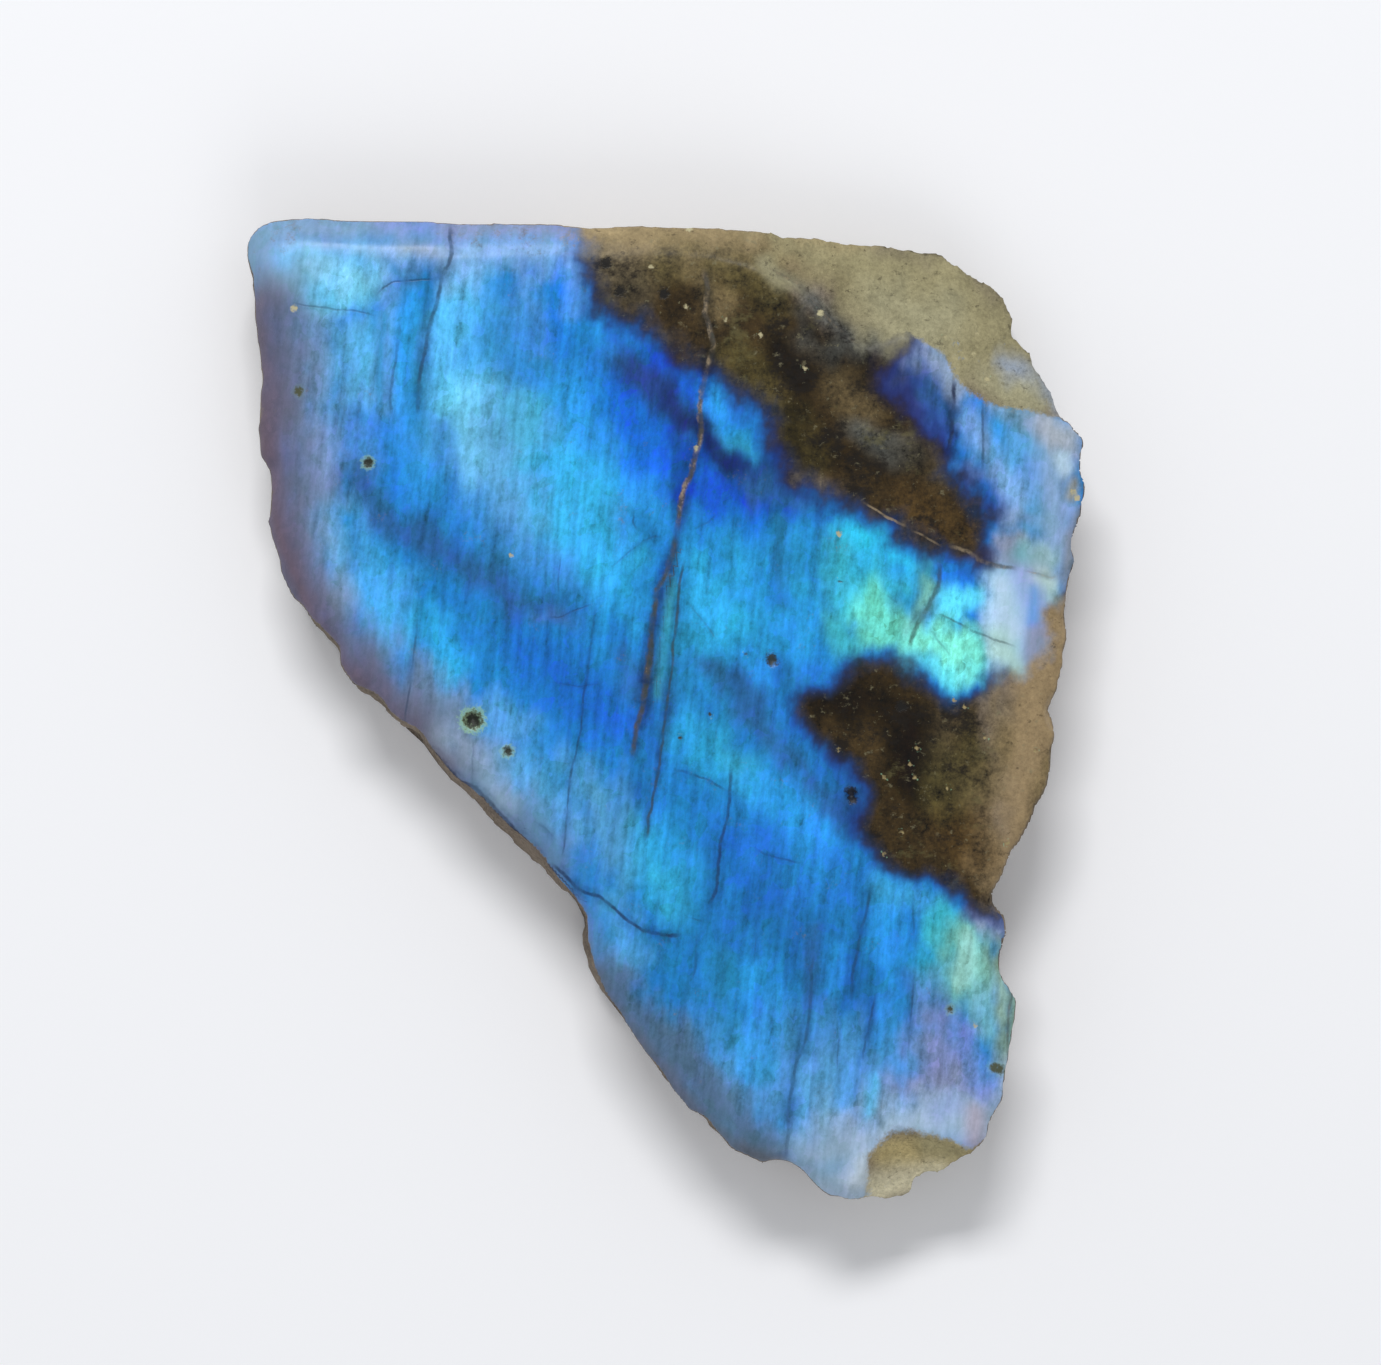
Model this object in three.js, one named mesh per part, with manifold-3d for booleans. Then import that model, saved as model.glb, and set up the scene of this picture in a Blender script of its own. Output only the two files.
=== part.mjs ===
// Labradorite slice: one slab of stone, polished in front, sawn flat behind, with broken sides.
// Millimetres, +Z up. It lies on its sawn back, with the polished face up. The origin is on the
// back, under the middle of the slab's breadth and length.
import * as THREE from "three";
import { mergeVertices } from "three/addons/utils/BufferGeometryUtils.js";
import Module from "manifold-3d";

const wasm = await Module();
wasm.setup();

// Driving dimensions
const WIDTH = 38.5; // along X, over the furthest points of the outline
const LENGTH = 45.1; // along Y
const THICKNESS = 6; // from the sawn back to the polished face

// The outline seen from above, clockwise from the top left corner
const TOP_EDGE = [
  [-19.25, 21.0], [-19.15, 21.5], [-18.8, 22.0], [-18.3, 22.35], [-17.6, 22.5], [-16.0, 22.55],
  [-14.0, 22.45], [-11.0, 22.38], [-9.1, 22.3], [-6.0, 22.3], [-3.3, 22.1], [-1.0, 22.2],
  [2.0, 22.05], [4.5, 21.95], [6.5, 21.6], [8.0, 21.5], [10.0, 21.27], [12.5, 21.02],
];
const SHOULDER = [
  [13.6, 20.32], [14.0, 20.0], [15.0, 19.44], [15.4, 19.1], [15.8, 18.4], [16.12, 17.87],
  [16.0, 17.13], [16.8, 16.33], [17.0, 15.67], [17.75, 14.57], [18.0, 13.76], [18.5, 13.1], [19.1, 12.37],
];
const RIGHT_SIDE = [
  [19.2, 12.1], [19.02, 10.9], [19.25, 10.14], [19.03, 8.82], [18.67, 7.87], [18.63, 7.5],
  [18.8, 6.77], [18.41, 5.45], [18.26, 4.35], [18.37, 3.1], [18.02, 1.17], [17.62, 0.0],
  [17.87, -0.67], [17.86, -1.1], [17.43, -3.6], [16.96, -4.4], [16.4, -5.73], [15.86, -6.46],
  [15.45, -7.55], [15.0, -8.47], [15.08, -8.83], [15.6, -9.42], [15.66, -10.23], [15.4, -11.1],
  [15.44, -12.13], [15.85, -12.8], [16.15, -13.3], [16.0, -14.33], [15.8, -15.5], [15.55, -17.05],
  [15.57, -17.6], [15.15, -18.35], [14.9, -18.8], [14.75, -19.53],
];
const FOOT = [
  [14.05, -20.44], [13.8, -20.44], [13.13, -20.96], [12.4, -21.36], [12.0, -21.3], [11.6, -21.58],
  [11.34, -22.17], [10.8, -22.42], [9.98, -22.55], [8.44, -22.46], [7.58, -22.3], [6.92, -21.87],
  [6.26, -21.2], [5.6, -20.77], [5.0, -20.74], [4.4, -20.9],
];
const SLANTED_SIDE = [
  [3.77, -20.48], [3.1, -20.33], [2.37, -19.75], [1.35, -18.8], [0.32, -17.62], [-0.41, -16.74],
  [-1.0, -15.93], [-2.1, -14.43], [-2.33, -13.92], [-2.99, -13.2], [-3.46, -12.3], [-3.94, -10.9],
  [-3.87, -9.9], [-3.94, -9.52], [-4.53, -8.7], [-5.7, -7.47], [-7.0, -6.3], [-8.17, -5.17],
  [-8.7, -4.32], [-8.94, -4.32], [-9.35, -3.85], [-10.0, -3.4], [-10.78, -2.38], [-11.6, -1.28],
  [-12.2, -0.99], [-12.87, -0.4], [-13.53, 0.4], [-14.4, 0.92], [-14.96, 1.73], [-15.18, 2.53],
  [-15.87, 3.3],
];
const LEFT_SIDE = [
  [-16.6, 4.2], [-17.2, 5.3], [-17.85, 6.9], [-18.3, 8.5], [-18.08, 10.6], [-18.6, 11.75],
  [-18.65, 13.4], [-18.5, 15.3], [-18.8, 17.6], [-18.95, 19.7], [-19.2, 20.6],
];
const OUTLINE = [...TOP_EDGE, ...SHOULDER, ...RIGHT_SIDE, ...FOOT, ...SLANTED_SIDE, ...LEFT_SIDE];

// How the polished face falls away to the rim at stations along the outline: over which width, by how
// much, and with which power (1 is a flat bevel, 2 and more a rolled edge). rough is the height of the
// lumps on a bevel that was never polished. lean is how far the rim stands in from the foot of the wall,
// and where it is negative the wall is undercut.
const EDGES = [
  { at: [-18.3, 22.35], width: 2.0, drop: 1.5, power: 2.0, rough: 0, lean: -0.2 },
  { at: [-11.0, 22.38], width: 1.9, drop: 1.3, power: 2.0, rough: 0, lean: -0.3 },
  { at: [-3.3, 22.1], width: 1.4, drop: 1.0, power: 1.8, rough: 0.03, lean: -0.2 },
  { at: [2.0, 22.05], width: 1.3, drop: 0.9, power: 1.3, rough: 0.06, lean: -0.1 },
  { at: [4.5, 21.95], width: 2.0, drop: 1.0, power: 1.0, rough: 0.08, lean: 0 },
  { at: [6.5, 21.6], width: 3.0, drop: 1.3, power: 1.0, rough: 0.12, lean: 0 },
  { at: [8.0, 21.5], width: 4.2, drop: 1.5, power: 1.0, rough: 0.13, lean: 0.1 },
  { at: [10.0, 21.27], width: 4.4, drop: 1.7, power: 1.0, rough: 0.14, lean: 0.1 },
  { at: [12.5, 21.02], width: 4.9, drop: 1.9, power: 1.0, rough: 0.14, lean: 0.1 },
  { at: [13.6, 20.32], width: 4.4, drop: 1.8, power: 1.0, rough: 0.14, lean: 0 },
  { at: [15.4, 19.1], width: 4.2, drop: 1.7, power: 1.0, rough: 0.14, lean: 0 },
  { at: [16.0, 17.13], width: 3.3, drop: 1.5, power: 1.0, rough: 0.12, lean: 0.1 },
  { at: [17.0, 15.67], width: 2.7, drop: 1.2, power: 1.0, rough: 0.1, lean: 0 },
  { at: [18.0, 13.76], width: 1.2, drop: 0.8, power: 1.0, rough: 0.05, lean: -0.1 },
  { at: [19.1, 12.37], width: 0.7, drop: 0.4, power: 1.3, rough: 0, lean: -0.3 },
  { at: [19.03, 8.82], width: 0.7, drop: 0.35, power: 1.5, rough: 0, lean: -0.5 },
  { at: [18.37, 3.1], width: 1.0, drop: 0.45, power: 1.5, rough: 0, lean: -0.4 },
  { at: [17.62, 0.0], width: 0.6, drop: 0.3, power: 1.3, rough: 0, lean: -0.3 },
  { at: [15.0, -8.47], width: 0.6, drop: 0.35, power: 1.5, rough: 0, lean: -0.4 },
  { at: [16.0, -14.33], width: 0.8, drop: 0.4, power: 1.5, rough: 0, lean: -0.5 },
  { at: [14.75, -19.53], width: 0.7, drop: 0.4, power: 1.3, rough: 0, lean: -0.3 },
  { at: [13.8, -20.44], width: 1.1, drop: 0.6, power: 1.0, rough: 0.03, lean: -0.1 },
  { at: [13.13, -20.96], width: 2.2, drop: 1.1, power: 1.0, rough: 0.06, lean: 0 },
  { at: [12.4, -21.36], width: 2.7, drop: 1.4, power: 1.0, rough: 0.08, lean: 0.1 },
  { at: [11.34, -22.17], width: 3.1, drop: 1.7, power: 1.0, rough: 0.08, lean: 0.1 },
  { at: [9.98, -22.55], width: 2.7, drop: 1.7, power: 1.1, rough: 0.05, lean: 0 },
  { at: [8.44, -22.46], width: 1.2, drop: 0.9, power: 1.6, rough: 0, lean: 0 },
  { at: [6.26, -21.2], width: 1.2, drop: 0.8, power: 2.0, rough: 0, lean: 0.2 },
  { at: [4.4, -20.9], width: 1.3, drop: 0.7, power: 2.0, rough: 0, lean: 0.3 },
  { at: [0.32, -17.62], width: 1.5, drop: 0.6, power: 2.0, rough: 0, lean: 0.4 },
  { at: [-3.46, -12.3], width: 1.2, drop: 0.5, power: 1.8, rough: 0, lean: 0.6 },
  { at: [-8.17, -5.17], width: 1.2, drop: 0.5, power: 1.8, rough: 0, lean: 0.75 },
  { at: [-11.6, -1.28], width: 1.4, drop: 0.6, power: 1.8, rough: 0, lean: 0.75 },
  { at: [-14.4, 0.92], width: 2.2, drop: 0.9, power: 2.0, rough: 0, lean: 0.5 },
  { at: [-17.2, 5.3], width: 3.2, drop: 1.3, power: 2.2, rough: 0, lean: 0.3 },
  { at: [-18.08, 10.6], width: 3.4, drop: 1.5, power: 2.2, rough: 0, lean: 0.1 },
  { at: [-18.5, 15.3], width: 2.5, drop: 1.4, power: 2.2, rough: 0, lean: -0.1 },
  { at: [-18.95, 19.7], width: 2.0, drop: 1.4, power: 2.0, rough: 0, lean: -0.2 },
];

// A convex shape inside the slab: every point of the rim moves straight towards the nearest point of it
const CORE = [
  [-12.5, 15.5], [8.5, 15.5], [12.5, 11], [12.5, 3], [10.8, -13], [9.5, -17], [5, -14], [-10, 7],
];

const VERTEX_SPACING = 0.62; // the longest stretch of outline between two vertices
const RAGGED = 0.06; // the most that a vertex between two outline points stands off the line
const SMOOTH_EDGE = 21.8; // above this Y the outline is the worn top edge, which isn't ragged
const WALL_LEVELS = [0, 0.07, 0.3, 0.52, 0.76, 1]; // heights of the wall's rings, as shares of the rim's
const ARRIS = 0.3; // width of the worn edge round the sawn back
const LEDGE = 0.55; // depth of the deepest hollow between the ledges of the broken wall
const LEDGE_LENGTH = 1.7; // length of one ledge along the outline
const LEDGE_STEP = 0.3; // share of that length over which the wall steps to the next ledge
const LUMP_SIZE = 0.9; // distance between the lumps on an unpolished bevel
const FALL_STEPS = [0.1, 0.25, 0.45, 0.7, 1]; // rings inside the rim, as shares of the fall's width

// Pits in the polished face: centre, radius and depth. Each is a bowl of so many sides and rings.
const PITS = [
  { at: [-8.7, -0.45], radius: 0.42, depth: 0.35 },
  { at: [-7.1, -1.9], radius: 0.24, depth: 0.2 },
  { at: [-13.5, 11.2], radius: 0.24, depth: 0.2 },
  { at: [4.9, 2.25], radius: 0.36, depth: 0.22 },
  { at: [8.5, -3.9], radius: 0.3, depth: 0.28 },
  { at: [13.0, -13.65], radius: 0.22, depth: 0.18 },
];
const PIT_SIDES = 12;
const PIT_RINGS = 8;

// The open fissure that runs down the middle of the face: its middle line, from the top
const FISSURE = [
  [1.75, 20.2], [1.95, 18.8], [1.95, 17.4], [2.15, 16.6], [1.9, 15.4], [1.7, 13.8], [1.72, 12.6],
  [1.4, 11.4], [1.0, 10.1], [0.75, 8.8], [0.5, 7.6], [0.8, 6.6], [0.72, 5.2], [0.5, 3.4], [0.25, 1.4],
];
const FISSURE_WIDTH = 0.3;
const FISSURE_DEPTH = 0.16;
const FISSURE_END = 0.25; // share of the width and depth that is left at its two ends
const FISSURE_UNEVEN = 0.3; // the most that its width varies along it, as a share
const FISSURE_SEED = 77;
const CUT_ABOVE = 0.2; // how far the wedge that cuts it stands above the face

// Shallow shells broken out of the rim: the centre and radius of the ball that fits each
const CHIPS = [
  { at: [18.85, 9.9, 7.25], radius: 1.62 },
  { at: [17.35, 17.6, 5.6], radius: 1.6 },
  { at: [18.75, -0.15, 6.7], radius: 1.7 },
  { at: [16.1, -8.6, 6.9], radius: 1.7 },
  { at: [16.9, -11.6, 6.6], radius: 1.9 },
  { at: [-5.2, -10.6, 6.6], radius: 1.9 },
  { at: [5.2, -22.2, 6.3], radius: 1.9 },
  { at: [-17.4, 2.1, 6.4], radius: 2.0 },
];
const CHIP_DETAIL = 3; // how often a ball's faces are divided

const MERGE_DISTANCE = 1e-4; // vertices closer than this are one

const BLUE_STONE = { color: 0x2b82c8, roughness: 0.22, metalness: 0 };

// A repeatable number from -1 to 1 for each pair of whole numbers
function grain(i, k) {
  let h = Math.imul(i + 374761393, 668265263) ^ Math.imul(k + 1274126177, 2246822519);
  h = Math.imul(h ^ (h >>> 15), 2246822519);
  h = Math.imul(h ^ (h >>> 13), 3266489917);
  return ((h ^ (h >>> 16)) >>> 0) / 2147483648 - 1;
}

// The same, level for most of the way between whole numbers, with a short slope to the next level
function ledge(s, k) {
  const i = Math.floor(s);
  const share = THREE.MathUtils.clamp((s - i - 0.5) / LEDGE_STEP + 0.5, 0, 1);
  return THREE.MathUtils.lerp(grain(i, k), grain(i + 1, k), share);
}

// Lumps from -1 to 1 at a place on the face, running straight between the corners of a square grid
function lump(x, y) {
  const [u, v] = [x / LUMP_SIZE, y / LUMP_SIZE];
  const [i, j] = [Math.floor(u), Math.floor(v)];
  const near = THREE.MathUtils.lerp(grain(i, j), grain(i + 1, j), u - i);
  const far = THREE.MathUtils.lerp(grain(i, j + 1), grain(i + 1, j + 1), u - i);
  return THREE.MathUtils.lerp(near, far, v - j);
}

// A closed geometry as a solid that can be cut
function solid(geometry) {
  const bare = geometry.clone();
  bare.deleteAttribute("normal");
  bare.deleteAttribute("uv");
  const merged = mergeVertices(bare, MERGE_DISTANCE);
  const vertProperties = new Float32Array(merged.attributes.position.array);
  const triVerts = new Uint32Array(merged.index.array);
  return new wasm.Manifold(new wasm.Mesh({ numProp: 3, vertProperties, triVerts }));
}

// The faces of a solid
function geometryOf(made) {
  const mesh = made.getMesh();
  const geometry = new THREE.BufferGeometry();
  geometry.setAttribute("position", new THREE.BufferAttribute(mesh.vertProperties, 3));
  geometry.setIndex(new THREE.BufferAttribute(mesh.triVerts, 1));
  geometry.computeVertexNormals();
  return geometry;
}

// Rings of the same number of points, joined in order and closed at both ends. Seen against the
// direction from the first ring to the last, each ring runs anticlockwise.
function closedLoft(rings, capTriangles) {
  const count = rings[0].length;
  const positions = rings.flat().flatMap((p) => [p.x, p.y, p.z]);
  const faces = [];
  for (let k = 0; k + 1 < rings.length; k += 1) {
    for (let i = 0; i < count; i += 1) {
      const a = k * count + i;
      const b = k * count + ((i + 1) % count);
      faces.push(a, b, b + count, a, b + count, a + count);
    }
  }
  const last = (rings.length - 1) * count;
  for (const [a, b, c] of capTriangles(rings[0])) faces.push(a, c, b);
  for (const [a, b, c] of capTriangles(rings.at(-1))) faces.push(last + a, last + b, last + c);
  const geometry = new THREE.BufferGeometry();
  geometry.setAttribute("position", new THREE.Float32BufferAttribute(positions, 3));
  geometry.setIndex(faces);
  return geometry;
}

// Triangles of a level ring, anticlockwise from above
function levelCap(ring) {
  const flat = ring.map((p) => new THREE.Vector2(p.x, p.y));
  return THREE.ShapeUtils.triangulateShape(flat, []);
}

// Triangles of a ring with no hollow corners, all from its first point
function fanCap(ring) {
  return ring.slice(2).map((_, i) => [0, i + 1, i + 2]);
}

// The outline with more vertices, ragged between the drawn points, anticlockwise, and of the stated size
function raggedOutline() {
  const points = [];
  OUTLINE.forEach(([x, y], i) => {
    const here = new THREE.Vector2(x, y);
    const next = new THREE.Vector2(...OUTLINE[(i + 1) % OUTLINE.length]);
    const pieces = Math.ceil(here.distanceTo(next) / VERTEX_SPACING);
    const across = next.clone().sub(here).normalize().rotateAround(new THREE.Vector2(), Math.PI / 2);
    for (let k = 0; k < pieces; k += 1) {
      const between = here.clone().lerp(next, k / pieces);
      const smooth = k === 0 || between.y > SMOOTH_EDGE;
      points.push(between.addScaledVector(across, smooth ? 0 : RAGGED * grain(i, k)));
    }
  });
  const box = new THREE.Box2().setFromPoints(points);
  const middle = box.getCenter(new THREE.Vector2());
  const scale = new THREE.Vector2(WIDTH, LENGTH).divide(box.getSize(new THREE.Vector2()));
  return points.map((p) => p.sub(middle).multiply(scale)).reverse();
}

// The point of the inner shape that is nearest to a point of the outline
function nearestOnCore(point) {
  let best = null;
  CORE.forEach((corner, i) => {
    const start = new THREE.Vector3(...corner, 0);
    const end = new THREE.Vector3(...CORE[(i + 1) % CORE.length], 0);
    const target = new THREE.Vector3(point.x, point.y, 0);
    const near = new THREE.Line3(start, end).closestPointToPoint(target, true, new THREE.Vector3());
    if (!best || near.distanceTo(target) < best.distanceTo(target)) best = near;
  });
  return new THREE.Vector2(best.x, best.y);
}

// The length along the outline at each vertex, and the whole length
function lengthsAlong(outline) {
  const lengths = [0];
  outline.forEach((p, i) => lengths.push(lengths[i] + p.distanceTo(outline[(i + 1) % outline.length])));
  return { lengths, whole: lengths.pop() };
}

// Each edge with the length along the outline at which it stands, in order
function edgeStations(outline, lengths) {
  const stations = EDGES.map((edge) => {
    const at = new THREE.Vector2(...edge.at);
    const distances = outline.map((p) => p.distanceTo(at));
    return { edge, length: lengths[distances.indexOf(Math.min(...distances))] };
  });
  return stations.sort((a, b) => a.length - b.length);
}

// The edge at a length along the outline, between the two stations round it
function edgeAt(length, whole, stations) {
  const after = stations.findIndex((s) => s.length > length);
  const end = after < 0 ? 0 : after;
  const start = (end + stations.length - 1) % stations.length;
  const span = (stations[end].length - stations[start].length + whole) % whole;
  const share = ((length - stations[start].length + whole) % whole) / span;
  const a = stations[start].edge;
  const b = stations[end].edge;
  const mixed = {};
  for (const key of ["width", "drop", "power", "rough", "lean"]) {
    mixed[key] = THREE.MathUtils.lerp(a[key], b[key], share);
  }
  return mixed;
}

// How far in from the outline the wall stands at each level, 0 where it is widest
function wallInsets(edge, length, wholeLedges, whole) {
  const place = (length / whole) * wholeLedges;
  const insets = WALL_LEVELS.map((level, k) => {
    const slope = edge.lean > 0 ? edge.lean * level : -edge.lean * (1 - level);
    if (k === 0) return slope + ARRIS;
    if (k === WALL_LEVELS.length - 1) return slope;
    return slope + (LEDGE / 2) * (1 + ledge(place, k));
  });
  const widest = Math.min(...insets);
  return insets.map((inset) => inset - widest);
}

// The slab before anything is broken out of it: the wall from the back up to the rim, then the fall
// from the rim in to the flat face
function slab() {
  const outline = raggedOutline();
  const { lengths, whole } = lengthsAlong(outline);
  const stations = edgeStations(outline, lengths);
  const wholeLedges = Math.round(whole / LEDGE_LENGTH);
  const rings = [...WALL_LEVELS, ...FALL_STEPS].map(() => []);
  outline.forEach((point, i) => {
    const edge = edgeAt(lengths[i], whole, stations);
    const inward = nearestOnCore(point).sub(point).normalize();
    const insets = wallInsets(edge, lengths[i], wholeLedges, whole);
    const rimHeight = THICKNESS - edge.drop + edge.rough * lump(point.x, point.y);
    WALL_LEVELS.forEach((level, k) => {
      const p = point.clone().addScaledVector(inward, insets[k]);
      rings[k].push(new THREE.Vector3(p.x, p.y, level * rimHeight));
    });
    FALL_STEPS.forEach((step, k) => {
      const p = point.clone().addScaledVector(inward, insets.at(-1) + step * edge.width);
      const rough = step < 1 ? edge.rough * lump(p.x, p.y) : 0;
      const z = THICKNESS - edge.drop * (1 - step) ** edge.power + rough;
      rings[WALL_LEVELS.length + k].push(new THREE.Vector3(p.x, p.y, Math.min(z, THICKNESS)));
    });
  });
  return solid(closedLoft(rings, levelCap));
}

// A ball pressed to the pit's depth, half of it above the face
function pit({ at, radius, depth }) {
  const bowl = new THREE.SphereGeometry(1, PIT_SIDES, PIT_RINGS);
  bowl.rotateX(Math.PI / 2);
  bowl.scale(radius, radius, depth);
  bowl.translate(...at, THICKNESS);
  return solid(bowl);
}

// The ball that leaves a shell-shaped chip where it is taken out of the rim
function chip({ at, radius }) {
  const ball = new THREE.IcosahedronGeometry(radius, CHIP_DETAIL);
  ball.translate(...at);
  return solid(ball);
}

// A wedge along the fissure's line, its sharp edge down, smaller towards both ends
function fissure() {
  const path = new THREE.CatmullRomCurve3(FISSURE.map(([x, y]) => new THREE.Vector3(x, y, THICKNESS)));
  const steps = 2 * FISSURE.length;
  const up = new THREE.Vector3(0, 0, 1);
  const rings = [];
  for (let k = 0; k <= steps; k += 1) {
    const middle = path.getPointAt(k / steps);
    const side = path.getTangentAt(k / steps).cross(up).normalize();
    const size = FISSURE_END + (1 - FISSURE_END) * Math.sqrt(Math.sin((Math.PI * k) / steps));
    const half = (FISSURE_WIDTH / 2) * size * (1 + FISSURE_UNEVEN * grain(k, FISSURE_SEED));
    const depth = FISSURE_DEPTH * size;
    const reach = half * (1 + CUT_ABOVE / depth);
    const top = middle.clone().addScaledVector(up, CUT_ABOVE);
    rings.push([
      middle.clone().addScaledVector(up, -depth),
      top.clone().addScaledVector(side, -reach),
      top.clone().addScaledVector(side, reach),
    ]);
  }
  return solid(closedLoft(rings, fanCap));
}

// The whole stone: the slab less its pits, its chips and the fissure
function labradoriteSlice() {
  const cuts = [...PITS.map(pit), ...CHIPS.map(chip), fissure()];
  const stone = cuts.reduce((rest, cut) => rest.subtract(cut), slab());
  const mesh = new THREE.Mesh(geometryOf(stone), new THREE.MeshStandardMaterial(BLUE_STONE));
  mesh.name = "labradorite_slice";
  return mesh;
}

const group = new THREE.Group();
group.add(labradoriteSlice());

export default group;
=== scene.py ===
"""A polished slice of labradorite, lying face up on a pale floor."""

import math

import bpy
import numpy as np
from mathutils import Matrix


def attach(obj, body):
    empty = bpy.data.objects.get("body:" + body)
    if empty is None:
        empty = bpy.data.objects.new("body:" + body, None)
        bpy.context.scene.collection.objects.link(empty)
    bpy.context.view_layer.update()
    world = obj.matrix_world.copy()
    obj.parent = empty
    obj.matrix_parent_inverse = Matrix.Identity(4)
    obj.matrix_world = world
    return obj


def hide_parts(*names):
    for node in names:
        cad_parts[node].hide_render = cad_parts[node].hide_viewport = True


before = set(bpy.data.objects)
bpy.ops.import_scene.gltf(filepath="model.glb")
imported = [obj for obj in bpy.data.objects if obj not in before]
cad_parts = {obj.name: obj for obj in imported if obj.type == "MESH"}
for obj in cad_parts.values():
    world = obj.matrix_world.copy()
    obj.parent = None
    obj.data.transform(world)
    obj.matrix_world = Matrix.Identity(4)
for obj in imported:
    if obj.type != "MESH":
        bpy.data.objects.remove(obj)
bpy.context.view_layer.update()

# Places and sizes are in millimetres, in the slab's own frame. MM turns them into metres.
MM = 0.001
SLAB = "labradorite_slice"
THICKNESS = 6.0
GRID = 0.154  # between the vertices of the fine mesh
KEPT_FACES = 0.585  # the least share of the faces that is left when the back is thinned
# How far along X the stone's thin upright layers lean for each step along Y, and how far the
# faint scratches across them do.
LEAN = 0.1
SLANT = 0.35
# The blocks that the layers break the flash into.
PANEL_WIDTH = 0.95
PANEL_LENGTH = 5.0
# How low the polish reaches on the rims: between these heights it gives way to broken stone.
POLISH_WHOLE = 4.2
POLISH_GONE = 3.4
# How deep broken stone is worn by lumps, by cleavage steps and by grain.
LUMP_DEPTH = 0.06
STEP_DEPTH = 0.07
GRAIN_DEPTH = 0.025
# The saw marks on the back are arcs round one place.
SAW_DEPTH = 0.012
SAW_PITCH = 1.1
SAW_CENTRE = (-60.0, 25.0)

# The camera looks straight down at the polished face.
VIEW_CENTRE = (1.2045, 1.2045)
VIEW_WIDTH = 62.77
VIEW_HEIGHT = 300.0
SENSOR = 36.0

# Colours as they look, in red, green and blue up to 255.
PAINTS = {
    "azure": (32, 132, 206),
    "bright azure": (30, 140, 245),
    "clear azure": (42, 158, 238),
    "mid azure": (34, 124, 208),
    "hazy azure": (106, 166, 232),
    "sky": (86, 190, 244),
    "pale sky": (118, 212, 244),
    "soft sky": (92, 170, 222),
    "cyan": (48, 182, 238),
    "bright cyan": (45, 204, 244),
    "ice cyan": (90, 222, 248),
    "turquoise": (62, 190, 208),
    "sea green": (112, 228, 202),
    "mint": (130, 246, 222),
    "leaf": (126, 194, 174),
    "grey leaf": (128, 156, 132),
    "green grey": (60, 148, 158),
    "royal": (16, 104, 226),
    "deep royal": (20, 88, 196),
    "cobalt": (10, 88, 200),
    "ultramarine": (22, 50, 150),
    "navy": (28, 42, 98),
    "dim blue": (54, 86, 156),
    "violet navy": (58, 58, 90),
    "steel": (44, 100, 158),
    "deep steel": (30, 108, 178),
    "lower blue": (32, 124, 190),
    "teal": (38, 138, 186),
    "deep teal": (36, 112, 156),
    "mist teal": (108, 172, 186),
    "slate": (112, 152, 184),
    "blue grey": (104, 128, 160),
    "grey haze": (128, 154, 174),
    "mauve": (112, 90, 96),
    "lilac": (118, 138, 206),
    "grey lilac": (128, 136, 180),
    "violet grey": (122, 118, 150),
    "rose grey": (168, 154, 166),
    "lavender": (164, 206, 238),
    "periwinkle": (104, 156, 224),
    "pale periwinkle": (150, 174, 220),
    "dusk": (44, 62, 108),
    "pale azure": (84, 150, 208),
    "pale haze": (158, 180, 200),
    "ice": (212, 220, 218),
    # painted sheen: a pale wash that stands in for the light the polish catches on rims and edges
    "glow": (190, 214, 236),
    "pale mint": (176, 214, 208),
    "slate lilac": (136, 146, 168),
    "pale olive": (164, 145, 108),
    "dim slate": (80, 108, 134),
    "rim": (102, 100, 106),
    "dark steel": (38, 70, 126),
    "black": (16, 14, 13),
    "umber": (62, 50, 32),
    "dark olive": (84, 76, 44),
    "olive": (128, 112, 80),
    "olive grey": (102, 92, 72),
    "rust": (80, 62, 36),
    "tan": (152, 131, 98),
    "ochre": (178, 162, 116),
    "straw": (214, 206, 174),
    "stone": (156, 148, 114),
    "pale stone": (168, 164, 134),
    "stone blue": (150, 166, 190),
    "slate stone": (104, 110, 108),
    "ledge": (150, 134, 118),
    "side": (126, 115, 103),
}

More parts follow.
